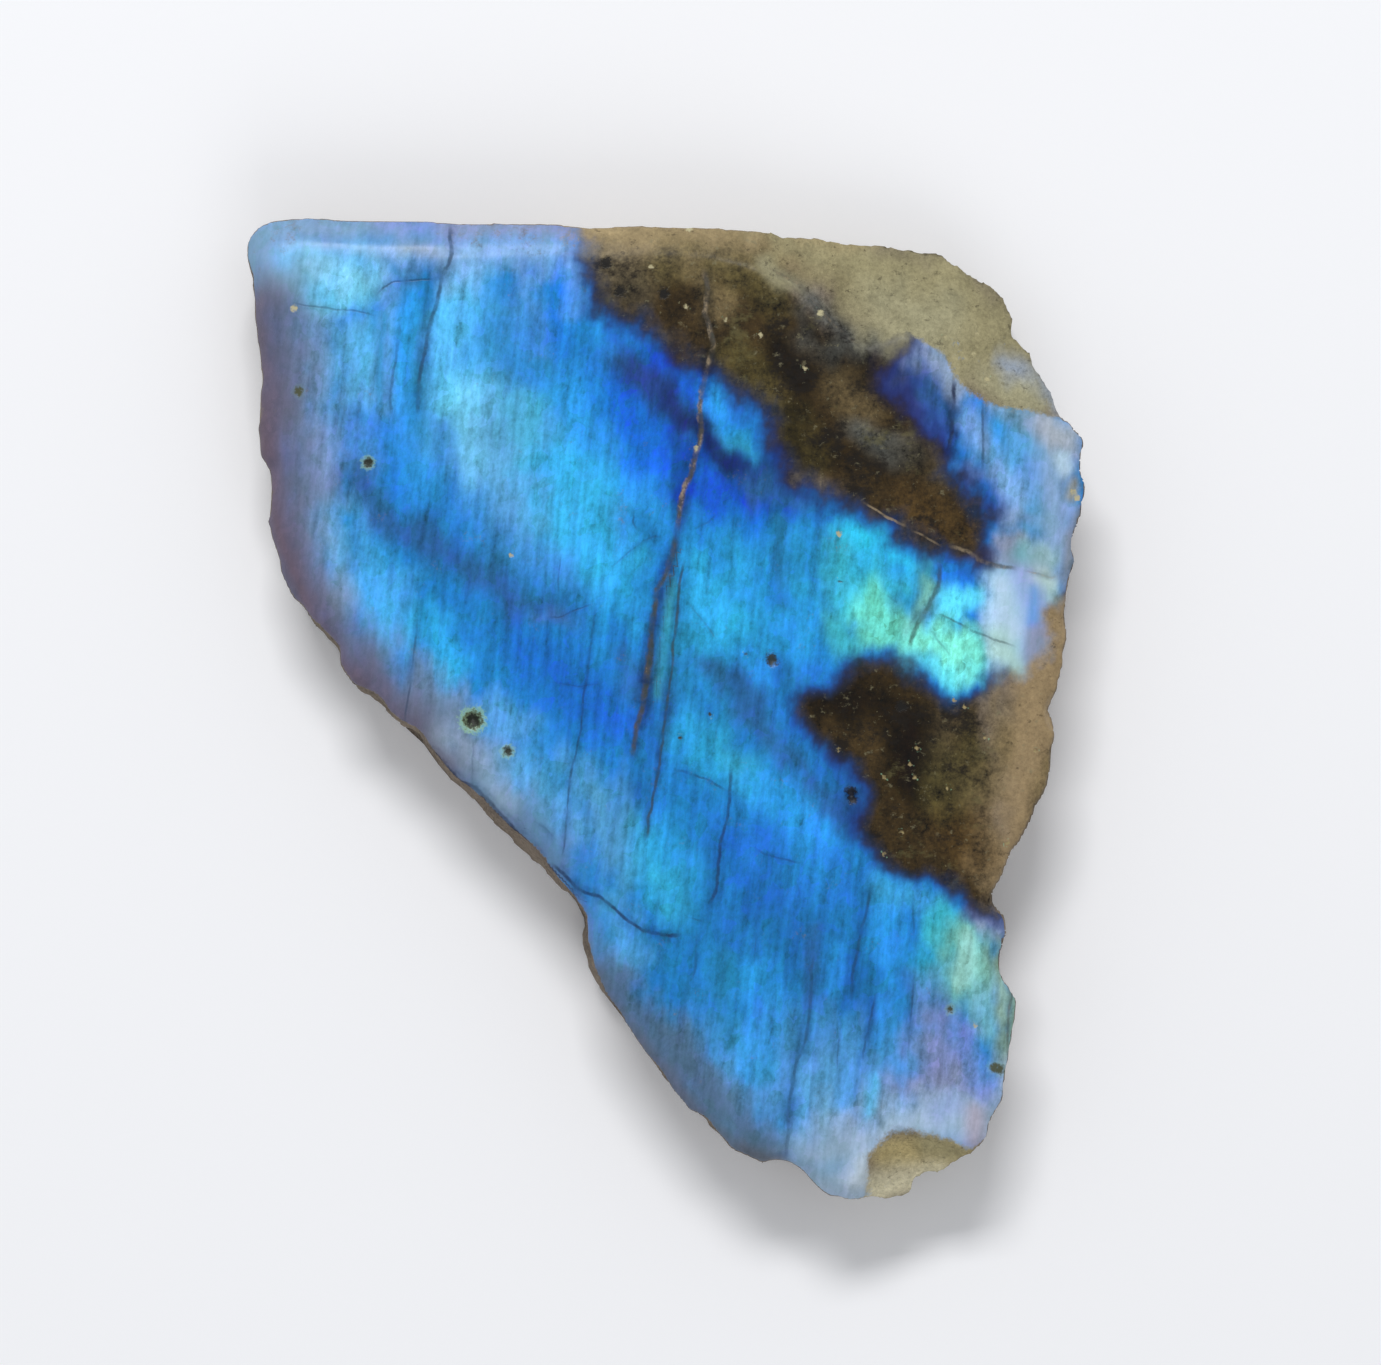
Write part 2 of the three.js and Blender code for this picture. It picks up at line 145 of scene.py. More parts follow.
# Brush strokes of the flash: a paint, the width of its soft edge, how much it covers, and
# the stroke's points as x, y and half breadth.
FLASH = (
    # broad zones
    ("soft sky", 3.0, 0.5, (-9, 14, 3), (-5, 9, 2.5)),
    ("lower blue", 4.0, 0.9, (2, -11, 4), (7, -12, 3), (5, -14, 3)),
    ("pale azure", 4.0, 0.8, (3, -17, 1.2), (9, -17.5, 2.2)),
    ("deep steel", 3.0, 0.5, (0.5, 1.5, 2), (4, -1, 2)),
    # the upper left
    ("slate", 1.6, 0.75, (-15.8, 18.6, 0.4), (-15.6, 13.0, 0.5), (-15.4, 8.0, 0.4)),
    ("slate", 1.2, 0.8, (-18.6, 21.2, 0.6), (-18.0, 19.2, 0.5)),
    ("pale sky", 1.0, 0.85, (-16.6, 19.4, 0.4), (-15.4, 18.7, 0.5)),
    ("sky", 1.0, 0.95, (-16.9, 20.4, 0.5), (-15.4, 19.6, 0.9), (-13.8, 20.0, 0.8)),
    ("pale sky", 0.9, 0.7, (-15.9, 19.9, 0.4), (-14.4, 19.2, 0.5)),
    ("hazy azure", 0.9, 0.8, (-12.8, 20.5, 0.4), (-10.6, 20.5, 0.3)),
    ("blue grey", 0.7, 0.7, (-12.0, 20.9, 0.2), (-10.0, 20.6, 0.3)),
    ("steel", 0.7, 0.5, (-11.6, 19.9, 0.2), (-10.2, 19.7, 0.3)),
    ("soft sky", 1.2, 0.85, (-14.2, 17.2, 0.6), (-13.8, 14.4, 0.7)),
    ("sky", 0.7, 0.5, (-13.6, 17.0, 0.2), (-13.5, 15.4, 0.3)),
    ("pale azure", 0.8, 0.85, (-12.5, 19.0, 0.4), (-12.4, 13.6, 0.4)),
    ("teal", 0.3, 0.6, (-12.7, 18.0, 0.1), (-12.9, 14.0, 0.1)),
    ("clear azure", 0.6, 0.8, (-11.6, 18.6, 0.4), (-11.8, 13.2, 0.35)),
    ("deep teal", 0.6, 0.6, (-10.7, 19.2, 0.25), (-11.0, 15.4, 0.3)),
    ("teal", 0.6, 0.6, (-11.1, 15.4, 0.25), (-11.3, 12.6, 0.3)),
    ("sky", 1.4, 0.85, (-9.4, 18.6, 0.6), (-9.3, 14.0, 0.9)),
    ("pale sky", 1.6, 0.7, (-9.0, 14.0, 0.6), (-8.6, 11.6, 0.7)),
    ("mist teal", 1.4, 0.35, (-8.8, 12.8, 0.4), (-7.4, 11.2, 0.5)),
    ("hazy azure", 1.4, 0.8, (-8.8, 20.3, 0.5), (-4.6, 20.4, 0.4)),
    ("mid azure", 1.8, 0.5, (-6.9, 19.0, 0.9), (-6.2, 17.4, 1.0)),
    ("sky", 1.2, 0.4, (-8.1, 19.4, 0.5), (-7.8, 16.6, 0.5)),
    ("hazy azure", 1.2, 0.3, (-6.4, 18.0, 0.6), (-5.8, 16.6, 0.5)),
    ("azure", 1.8, 0.6, (-7.2, 16.4, 1.0), (-5.6, 14.8, 0.8)),
    ("bright azure", 0.7, 0.85, (-4.7, 20.0, 0.3), (-4.4, 16.6, 0.45)),
    ("hazy azure", 0.8, 0.4, (-4.1, 20.0, 0.3), (-3.9, 18.2, 0.35)),
    ("clear azure", 0.8, 0.7, (-3.1, 17.6, 0.3), (-2.8, 16.6, 0.3)),
    ("mid azure", 1.2, 0.7, (-4.0, 16.6, 0.4), (-3.4, 14.8, 0.5)),
    ("clear azure", 1.8, 0.8, (-3.9, 13.8, 0.8), (-3.0, 11.8, 1.0)),
    ("royal", 1.8, 0.9, (-1.6, 14.4, 0.7), (-0.9, 12.6, 0.9), (-0.2, 10.8, 0.5)),
    ("soft sky", 2.0, 0.8, (-7.2, 12.6, 1.0), (-6.0, 9.6, 1.4)),
    ("turquoise", 1.4, 0.4, (-6.6, 13.6, 0.5), (-6.2, 12.2, 0.5)),
    ("cyan", 1.8, 0.85, (-4.6, 10.8, 0.9), (-3.4, 8.6, 1.1), (-2.0, 7.0, 0.6)),
    ("clear azure", 1.4, 0.7, (-0.9, 10.0, 0.4), (-0.5, 8.6, 0.3)),
    ("mid azure", 1.6, 0.7, (-14.0, 12.8, 0.5), (-12.4, 10.4, 1.0), (-9.6, 8.6, 0.7)),
    ("hazy azure", 1.2, 0.4, (-14.2, 12.6, 0.3), (-13.8, 9.0, 0.4)),
    ("mid azure", 1.6, 0.45, (-8.6, 7.4, 0.6), (-5.6, 6.2, 0.9)),
    ("clear azure", 1.2, 0.5, (-12.0, 12.4, 0.4), (-11.0, 9.8, 0.5)),
    # the left, under the dark band
    ("sky", 1.4, 0.5, (-13.9, 8.0, 0.6), (-12.8, 5.4, 0.9), (-12.2, 3.6, 0.6)),
    ("soft sky", 1.0, 0.8, (-15.0, 9.0, 0.3), (-14.8, 5.6, 0.4)),
    ("azure", 1.6, 0.6, (-10.2, 5.4, 0.6), (-9.4, 3.0, 1.0), (-7.8, 1.6, 0.7)),
    ("cyan", 1.2, 0.7, (-10.6, 4.2, 0.4), (-9.9, 2.2, 0.6)),
    ("grey haze", 1.8, 0.7, (-11.0, 0.8, 0.4), (-9.4, -1.4, 0.8), (-7.2, -4.4, 0.7)),
    ("soft sky", 1.0, 0.7, (-6.0, -0.6, 0.6), (-7.2, -2.8, 0.6), (-8.2, -3.4, 0.3)),
    ("soft sky", 1.4, 0.7, (-7.6, -0.4, 0.6), (-6.2, -3.0, 0.8), (-4.4, -5.2, 0.8)),
    # the dark band from the left to the fissure
    ("steel", 1.2, 0.95, (-14.4, 10.5, 0.25), (-12.6, 8.7, 0.4), (-9.9, 7.0, 0.5),
     (-8.6, 5.9, 0.5), (-6.6, 4.8, 0.5), (-4.6, 4.2, 0.4)),
    ("blue grey", 0.8, 0.4, (-5.9, 4.0, 0.1), (-4.6, 3.9, 0.1)),
    # the middle
    ("deep royal", 2.0, 0.6, (-6.0, 2.8, 0.6), (-4.6, 1.0, 1.2), (-2.6, -0.2, 1.0)),
    ("azure", 1.8, 0.7, (-5.2, -1.2, 0.7), (-2.8, -2.6, 0.9)),
    ("soft sky", 1.0, 0.4, (-4.4, -2.4, 0.4), (-3.6, -3.8, 0.4)),
    ("mist teal", 1.8, 0.4, (-3.2, -3.6, 0.7), (-2.2, -6.4, 0.8)),
    ("azure", 1.8, 0.6, (-3.8, 4.4, 0.6), (-2.6, 3.4, 0.6)),
    ("cyan", 1.4, 0.6, (-2.4, 6.2, 0.5), (-1.6, 4.6, 0.5)),
    ("steel", 1.0, 0.7, (-2.0, 2.4, 0.3), (-1.4, 1.2, 0.3)),
    ("cyan", 1.6, 0.6, (-0.4, -6.0, 0.6), (0.4, -8.2, 0.8)),
    ("turquoise", 1.0, 0.4, (-0.2, -7.8, 0.3), (0.2, -9.2, 0.3)),
    ("deep steel", 0.9, 0.7, (-0.6, -1.0, 0.4), (-0.9, -3.6, 0.4)),
    ("green grey", 0.4, 0.8, (0.3, 6.0, 0.15), (0.0, 3.0, 0.25), (-0.4, 0.8, 0.25)),
    ("steel", 0.5, 0.6, (0.0, 0.8, 0.2), (-0.1, -0.8, 0.2)),
    ("dark steel", 0.5, 0.75, (1.75, 13.6, 0.05), (0.9, 9.6, 0.1), (0.4, 7.0, 0.15),
     (-0.5, 4.0, 0.15), (-0.9, 0.5, 0.15), (-1.5, -2.2, 0.05)),
    ("dark steel", 0.4, 0.55, (0.6, 4.6, 0.05), (0.3, 1.5, 0.1), (-0.2, -3.0, 0.1),
     (-0.7, -5.6, 0.05)),
    ("cyan", 1.2, 0.85, (1.4, 6.8, 0.4), (1.9, 5.2, 0.7), (2.6, 3.7, 0.5)),
    ("cyan", 1.6, 0.5, (3.4, 7.2, 0.7), (3.8, 2.6, 0.7)),
    ("cyan", 1.4, 0.4, (0.8, 3.4, 0.4), (2.4, 2.6, 0.5)),
    ("cyan", 1.0, 0.5, (2.9, 3.8, 0.4), (3.2, 3.2, 0.3)),
    ("clear azure", 1.0, 0.8, (3.4, 2.2, 0.4), (4.3, 1.2, 0.4)),
    ("clear azure", 1.0, 0.4, (1.8, 1.8, 0.3), (2.0, 0.8, 0.3)),
    ("teal", 1.4, 0.6, (0.9, 3.2, 0.4), (1.0, 0.4, 0.4)),
    ("cyan", 1.4, 0.6, (1.0, -0.8, 0.5), (2.2, -2.6, 0.5)),
    ("teal", 1.2, 0.5, (2.6, 0.0, 0.4), (3.4, -1.8, 0.5)),
    ("turquoise", 1.0, 0.4, (3.4, -2.2, 0.4), (4.2, -3.2, 0.4)),
    ("azure", 1.6, 0.6, (0.6, -3.8, 0.6), (1.6, -5.0, 0.7)),
    ("clear azure", 1.4, 0.8, (4.8, -3.4, 0.4), (6.2, -4.4, 0.8), (6.8, -5.6, 0.5)),
    ("steel", 0.9, 0.9, (2.1, 2.0, 0.25), (3.2, 0.9, 0.35), (4.3, -0.3, 0.5), (5.2, -1.5, 0.4),
     (6.5, -3.0, 0.3), (7.4, -4.1, 0.3)),
    ("dark steel", 0.9, 0.8, (7.6, -2.2, 0.2), (8.4, -3.4, 0.4), (8.6, -5.0, 0.4)),
    ("mid azure", 1.0, 0.7, (5.4, 0.0, 0.3), (6.0, -1.2, 0.4)),
    ("deep steel", 0.9, 0.75, (5.2, 1.6, 0.25), (6.0, 0.8, 0.3)),
    ("deep steel", 1.0, 0.7, (6.8, -1.6, 0.4), (7.6, -3.2, 0.4)),
    ("deep royal", 1.6, 0.5, (3.6, -6.4, 0.6), (4.0, -8.4, 0.9)),
    ("deep steel", 2.0, 0.7, (3.0, -9.2, 0.8), (6.2, -10.0, 1.2), (8.4, -12.2, 0.6)),
    ("mid azure", 1.6, 0.6, (5.0, -6.6, 0.5), (7.8, -7.6, 0.7)),
    # beside the upper dark patch
    ("mid azure", 1.0, 0.8, (-2.0, 16.8, 0.3), (-0.8, 15.9, 0.4)),
    ("deep royal", 1.2, 0.8, (-0.6, 16.0, 0.3), (0.9, 15.0, 0.4), (1.2, 14.4, 0.3)),
    ("royal", 0.8, 0.6, (0.0, 15.4, 0.2), (0.7, 14.9, 0.25)),
    ("ultramarine", 1.4, 0.85, (0.7, 12.9, 0.3), (0.9, 11.0, 0.3), (0.6, 10.0, 0.15)),
    ("cobalt", 1.2, 0.9, (1.8, 11.4, 0.4), (2.2, 10.2, 0.6), (3.4, 9.6, 0.3)),
    ("navy", 1.4, 0.8, (5.0, 12.4, 0.4), (5.4, 11.0, 0.5), (6.2, 9.8, 0.4)),
    ("clear azure", 0.9, 0.95, (2.5, 13.9, 0.5), (2.7, 13.0, 0.5), (3.0, 12.6, 0.3)),
    ("azure", 0.9, 0.8, (3.8, 13.2, 0.5), (4.2, 12.4, 0.5)),
    ("turquoise", 0.8, 0.5, (3.0, 12.1, 0.15), (3.9, 11.7, 0.15)),
    ("dusk", 1.1, 0.8, (-2.2, 15.8, 0.2), (-1.4, 15.0, 0.3), (-0.1, 14.4, 0.4),
     (0.8, 13.6, 0.4), (1.3, 12.8, 0.4)),
    ("navy", 1.0, 0.6, (0.3, 13.9, 0.3), (1.2, 13.0, 0.35)),
    ("navy", 1.0, 0.95, (2.0, 12.1, 0.25), (3.2, 11.2, 0.4), (4.0, 10.4, 0.5), (4.8, 9.7, 0.5),
     (5.6, 9.0, 0.35)),
    ("cobalt", 1.0, 0.9, (1.4, 9.9, 0.3), (2.6, 9.0, 0.4), (4.6, 8.7, 0.3), (6.2, 9.0, 0.3)),
    ("azure", 1.2, 0.6, (2.6, 8.2, 0.3), (4.8, 7.8, 0.3)),
    ("steel", 1.0, 0.8, (4.2, 10.1, 0.3), (6.6, 9.5, 0.4)),
    # the green middle right
    ("azure", 1.0, 0.7, (7.3, 8.7, 0.3), (8.6, 8.5, 0.3)),
    ("teal", 1.2, 0.7, (6.2, 8.0, 0.4), (6.4, 6.2, 0.5)),
    ("cyan", 1.2, 0.4, (6.2, 5.4, 0.5), (6.3, 2.8, 0.5)),
    ("deep teal", 1.0, 0.7, (6.2, 1.3, 0.3), (6.4, 0.7, 0.3)),
    ("deep teal", 0.5, 0.6, (5.6, 8.6, 0.1), (5.3, 4.6, 0.15)),
    ("deep teal", 0.5, 0.4, (7.5, 8.6, 0.1), (7.6, 4.0, 0.1)),
    ("turquoise", 1.4, 0.9, (8.3, 7.2, 0.5), (8.7, 5.0, 0.8)),
    ("bright cyan", 1.1, 0.95, (8.6, 7.9, 0.3), (9.8, 7.2, 0.6), (11.0, 6.7, 0.4)),
    ("cyan", 1.0, 0.8, (9.2, 6.2, 0.5), (10.8, 6.0, 0.4)),
    ("turquoise", 1.0, 0.8, (9.6, 5.5, 0.4), (11.0, 5.4, 0.4)),
    ("green grey", 0.9, 0.85, (8.0, 3.9, 0.4), (8.6, 2.8, 0.5)),
    ("turquoise", 1.0, 0.6, (8.0, 3.8, 0.3), (8.6, 2.8, 0.4)),
    ("sea green", 1.4, 0.9, (9.4, 4.6, 0.4), (10.2, 3.6, 0.8)),
    ("azure", 0.6, 0.85, (9.5, 2.4, 0.2), (10.3, 2.3, 0.15)),
    ("mid azure", 1.0, 0.7, (6.6, 2.0, 0.3), (7.7, 1.8, 0.3)),
    ("green grey", 0.8, 0.85, (12.0, 6.8, 0.35), (12.0, 5.6, 0.35), (11.5, 4.6, 0.2)),
    ("leaf", 0.6, 0.85, (12.1, 5.8, 0.15), (11.8, 4.8, 0.25), (11.2, 3.6, 0.15)),
    ("deep teal", 0.4, 0.4, (12.55, 6.9, 0.05), (12.4, 5.3, 0.1), (11.5, 4.3, 0.1),
     (11.0, 2.6, 0.05)),
    ("bright azure", 0.8, 0.95, (12.9, 6.4, 0.25), (13.6, 5.9, 0.3)),
    ("ice cyan", 0.8, 0.95, (12.9, 5.2, 0.3), (13.0, 4.8, 0.4), (14.3, 4.9, 0.4)),
    ("clear azure", 0.8, 0.85, (11.6, 1.9, 0.2), (12.6, 1.2, 0.3), (13.6, 0.9, 0.3)),
    ("mint", 1.0, 0.95, (11.6, 3.0, 0.3), (12.4, 3.8, 0.3), (13.0, 2.6, 0.8), (13.9, 1.9, 0.5)),
    ("ice cyan", 0.8, 0.7, (11.6, 2.2, 0.2), (13.2, 1.4, 0.3), (14.3, 1.5, 0.2)),
    ("mint", 0.8, 0.6, (12.0, 3.4, 0.3), (14.2, 2.6, 0.5), (14.0, 1.6, 0.3)),
    ("pale periwinkle", 1.0, 0.95, (16.2, 6.4, 0.9), (16.6, 4.2, 1.1), (16.2, 1.8, 0.9)),
    ("lavender", 0.9, 0.95, (15.1, 6.0, 0.5), (15.4, 4.2, 0.7), (15.6, 2.8, 0.5)),
    ("ice", 0.8, 0.3, (15.3, 5.6, 0.3), (15.6, 3.6, 0.4)),
    ("pale mint", 0.9, 0.95, (15.1, 3.2, 0.2), (15.8, 1.8, 0.5)),
    ("periwinkle", 0.4, 0.85, (16.85, 5.4, 0.1), (16.8, 4.0, 0.15)),
    ("slate lilac", 0.6, 0.9, (17.0, 3.4, 0.25), (16.9, 2.4, 0.35)),
    ("pale mint", 0.7, 0.8, (17.3, 6.0, 0.2), (17.9, 5.3, 0.4)),
    ("olive grey", 0.5, 0.8, (13.5, 7.3, 0.15), (14.7, 6.8, 0.2)),
    ("slate lilac", 0.5, 0.7, (14.8, 7.0, 0.1), (16.0, 6.8, 0.15)),
    # the blue under the rough shoulder
    ("soft sky", 1.0, 0.75, (15.2, 12.4, 1.0), (16.2, 10.2, 1.2), (16.8, 8.6, 0.6)),
    ("mid azure", 0.4, 0.9, (13.75, 13.9, 0.3), (13.7, 11.6, 0.35)),
    ("hazy azure", 0.6, 0.35, (13.9, 13.8, 0.2), (14.0, 12.4, 0.3)),
    ("clear azure", 0.5, 0.8, (15.1, 13.2, 0.2), (14.9, 11.4, 0.25)),
    ("steel", 0.3, 0.8, (14.5, 13.9, 0.05), (14.5, 11.2, 0.1)),
    ("pale azure", 0.4, 0.7, (15.6, 13.2, 0.1), (15.5, 11.6, 0.15)),
    ("deep steel", 0.8, 0.6, (14.9, 10.8, 0.2), (14.9, 9.6, 0.3)),
    ("teal", 0.5, 0.5, (15.5, 13.0, 0.1), (15.3, 11.4, 0.1)),
    ("soft sky", 0.8, 0.7, (16.2, 12.2, 0.3), (16.5, 11.6, 0.3)),
    ("hazy azure", 0.6, 0.8, (16.4, 10.8, 0.35), (16.4, 9.5, 0.35)),
    ("pale azure", 0.7, 0.8, (17.4, 11.4, 0.2), (17.5, 9.4, 0.35), (17.8, 7.6, 0.3)),
    ("violet navy", 1.0, 0.95, (9.4, 16.4, 0.7), (10.0, 14.2, 1.3), (11.0, 12.6, 1.0)),
    ("dim blue", 0.9, 0.9, (12.0, 15.2, 0.4), (12.5, 14.2, 0.6), (12.4, 12.8, 0.5),
     (12.4, 11.7, 0.3)),
    ("dusk", 0.9, 0.6, (11.2, 16.0, 0.3), (11.6, 14.6, 0.3)),
    ("dark steel", 0.4, 0.7, (13.1, 15.0, 0.1), (13.0, 12.6, 0.1)),
    ("stone blue", 1.2, 0.85, (9.6, 17.2, 0.3), (10.8, 16.9, 0.4), (12.2, 16.1, 0.4),
     (13.4, 15.0, 0.3)),
    ("slate", 0.9, 0.85, (15.0, 13.9, 0.2), (17.2, 12.9, 0.4)),
    ("stone blue", 0.9, 0.9, (17.3, 12.8, 0.4), (18.4, 12.4, 0.4), (18.8, 11.6, 0.1)),
    ("lavender", 0.5, 0.9, (18.1, 11.5, 0.25), (18.3, 11.1, 0.2)),
    ("stone", 0.4, 0.7, (18.8, 10.4, 0.1), (18.6, 9.8, 0.1)),
    ("periwinkle", 0.6, 0.6, (18.5, 9.0, 0.2), (18.3, 8.2, 0.2)),
    ("blue grey", 0.8, 0.5, (13.4, 10.9, 0.2), (14.2, 10.6, 0.3)),
    ("dim blue", 0.8, 0.6, (13.4, 10.4, 0.2), (14.6, 9.8, 0.2)),
    ("dim blue", 0.8, 0.5, (14.8, 9.1, 0.15), (15.5, 9.0, 0.15)),
    ("blue grey", 0.6, 0.7, (15.4, 8.7, 0.2), (16.4, 8.6, 0.15)),
    ("blue grey", 0.7, 0.6, (13.9, 11.2, 0.2), (14.2, 10.6, 0.3)),
    # a faint pale wash of painted sheen
    ("glow", 0.8, 0.25, (13.8, 13.4, 0.3), (15.8, 9.4, 0.4)),
    ("slate lilac", 0.6, 0.95, (15.3, 7.7, 0.3), (16.0, 7.5, 0.35)),
    ("mist teal", 0.7, 0.85, (16.4, 7.1, 0.3), (17.6, 6.9, 0.35)),
    ("olive grey", 0.5, 0.6, (19.2, 9.0, 0.3), (18.7, 7.0, 0.4), (18.6, 5.6, 0.3)),
    # the lower part
    ("clear azure", 0.6, 0.85, (10.3, -8.0, 0.5), (10.1, -11.4, 0.6)),
    ("sky", 1.0, 0.35, (10.1, -8.6, 0.5), (12.4, -9.0, 0.4)),
    ("soft sky", 1.4, 0.5, (-2.2, -8.8, 0.4), (-1.6, -11.0, 0.5)),
    ("azure", 0.6, 0.6, (11.9, -9.4, 0.25), (11.7, -12.0, 0.3)),
    ("turquoise", 0.9, 0.85, (12.4, -9.3, 0.25), (12.9, -10.4, 0.5)),
    ("turquoise", 1.2, 0.5, (12.8, -9.8, 0.3), (12.7, -12.2, 0.4)),
    ("leaf", 1.5, 0.9, (13.9, -10.6, 0.3), (14.2, -12.3, 0.5)),
    ("pale mint", 0.6, 0.3, (13.8, -10.6, 0.1), (13.6, -12.2, 0.15)),
    ("grey leaf", 0.8, 0.8, (15.3, -10.3, 0.2), (15.5, -11.2, 0.3)),
    ("grey leaf", 0.7, 0.9, (15.2, -11.4, 0.2), (15.5, -13.0, 0.35), (15.8, -15.6, 0.3)),
    ("mist teal", 0.8, 0.85, (14.4, -13.2, 0.3), (14.9, -14.4, 0.3)),
    ("slate lilac", 0.8, 0.9, (14.2, -9.3, 0.2), (15.4, -9.9, 0.3)),
    ("deep steel", 0.9, 0.8, (6.4, -9.0, 0.3), (6.5, -11.6, 0.35)),
    ("deep steel", 0.5, 0.85, (9.2, -8.6, 0.1), (8.8, -10.6, 0.15), (8.5, -13.2, 0.15)),
    ("deep steel", 0.8, 0.6, (8.9, -12.2, 0.3), (9.2, -13.4, 0.15)),
    ("clear azure", 0.9, 0.6, (4.4, -12.0, 0.6), (4.4, -16.2, 0.6)),
    ("teal", 0.7, 0.6, (2.6, -11.4, 0.3), (3.0, -14.8, 0.3)),
    ("clear azure", 0.5, 0.5, (8.0, -10.6, 0.2), (7.6, -13.0, 0.2)),
    ("clear azure", 0.5, 0.6, (10.0, -13.2, 0.15), (9.6, -15.4, 0.2)),
    ("lilac", 1.0, 0.35, (11.8, -12.8, 0.15), (11.6, -14.6, 0.2)),
    ("steel", 0.5, 0.75, (6.9, -9.8, 0.1), (6.7, -12.6, 0.1), (6.2, -15.4, 0.1),
     (5.6, -18.6, 0.15)),
    ("deep steel", 0.4, 0.6, (9.5, -13.2, 0.08), (9.1, -15.8, 0.1)),
    ("deep steel", 0.4, 0.6, (11.25, -12.4, 0.05), (11.1, -15.4, 0.1)),
    ("grey lilac", 2.0, 0.85, (12.2, -15.2, 0.5), (13.0, -16.8, 0.8), (14.6, -17.2, 0.6)),
    ("lilac", 0.9, 0.6, (13.8, -14.8, 0.3), (14.3, -16.8, 0.3)),
    ("violet grey", 1.2, 0.5, (10.6, -17.0, 0.3), (13.2, -17.0, 0.3)),
    ("soft sky", 1.2, 0.6, (6.8, -16.6, 0.5), (7.4, -18.2, 0.6)),
    ("pale haze", 2.6, 0.85, (6.6, -20.4, 0.4), (8.8, -19.8, 0.8), (10.8, -18.9, 0.6),
     (13.6, -18.7, 0.6)),
    # painted sheen along the edge above the broken foot
    ("glow", 1.6, 0.4, (9.4, -20.2, 0.3), (10.4, -19.0, 0.5), (13.4, -18.5, 0.5)),
    ("sky", 0.5, 0.7, (9.5, -17.0, 0.15), (9.2, -18.6, 0.2)),
    ("pale periwinkle", 1.0, 0.8, (12.6, -18.3, 0.3), (13.2, -17.9, 0.3)),
    ("ice", 1.2, 0.75, (8.6, -21.8, 0.3), (9.6, -21.2, 0.5)),
    ("rose grey", 0.9, 0.7, (14.2, -18.2, 0.2), (14.4, -19.5, 0.4)),
    ("grey leaf", 0.8, 0.9, (16.6, -11.4, 0.8), (16.8, -14.6, 1.0)),
    ("pale haze", 1.0, 0.9, (16.8, -16.4, 1.1), (16.2, -19.4, 1.1)),
    ("pale haze", 1.0, 0.9, (4.6, -21.6, 0.6), (7.0, -22.4, 0.8), (9.6, -23.0, 0.8)),
    # the rims
    ("blue grey", 2.4, 0.85, (-17.4, 18.6, 0.4), (-16.8, 14.0, 0.7), (-16.6, 10.0, 0.7),
     (-16.0, 6.5, 0.4), (-14.4, 3.6, 0.3), (-12.4, 1.2, 0.4), (-10.4, -0.8, 0.4),
     (-8.6, -3.0, 0.5), (-6.4, -5.4, 0.5), (-5.0, -7.0, 0.3)),
    ("mauve", 2.6, 0.92, (-18.8, 18.2, 0.3), (-18.5, 13.8, 0.7), (-18.2, 10.6, 0.5),
     (-17.4, 7.2, 0.4), (-16.2, 4.6, 0.3), (-14.8, 2.2, 0.3), (-12.8, 0.0, 0.3),
     (-10.4, -2.4, 0.15)),
    ("rim", 0.9, 0.6, (-19.6, 17.6, 0.7), (-19.6, 11.6, 0.8), (-18.6, 6.4, 0.7),
     (-16.4, 2.4, 0.5), (-12.6, -1.4, 0.4)),
    ("grey lilac", 1.2, 0.3, (-15.6, 13.4, 0.2), (-15.2, 12.0, 0.3), (-15.4, 10.6, 0.2)),
    ("blue grey", 1.8, 0.75, (-4.2, -9.0, 0.3), (-3.2, -11.6, 0.4), (-1.6, -14.0, 0.4),
     (0.2, -16.2, 0.4), (2.2, -18.4, 0.5), (4.6, -20.4, 0.4)),
    ("dim slate", 1.4, 0.85, (-2.4, -12.2, 0.1), (-0.8, -14.4, 0.3), (1.4, -16.8, 0.5),
     (3.2, -18.8, 0.4), (4.6, -20.0, 0.3)),
    ("rim", 0.8, 0.75, (-3.8, -10.6, 0.1), (-2.9, -13.1, 0.15), (-0.9, -16.0, 0.2),
     (1.6, -18.8, 0.2), (3.4, -20.3, 0.2), (5.6, -20.9, 0.1)),
    ("slate", 0.9, 0.9, (-19.6, 20.0, 0.7), (-19.0, 22.6, 1.0), (-15.0, 22.7, 1.0),
     (-12.6, 22.7, 0.9)),
    ("lilac", 0.8, 0.55, (-12.6, 22.5, 0.8), (-10.0, 22.4, 0.8)),
    ("grey lilac", 0.8, 0.85, (-9.4, 22.5, 0.9), (-4.2, 22.5, 0.9)),
    # pale washes of painted sheen on the rolled rims; the top one stands in for the soft highlight
    # along the straight edge
    ("glow", 1.6, 0.22, (-17.4, 20.6, 0.8), (-10.0, 20.8, 0.8), (-4.4, 20.8, 0.6)),
    ("glow", 1.4, 0.14, (-15.4, 8.4, 0.2), (-14.4, 5.0, 0.3)),
    ("glow", 1.2, 0.3, (-10.0, -1.2, 0.2), (-8.2, -2.6, 0.3), (-7.4, -4.0, 0.3)),
    ("straw", 1.4, 0.25, (17.9, 12.4, 0.5), (18.0, 9.0, 0.6), (17.6, 6.4, 0.6)),
)

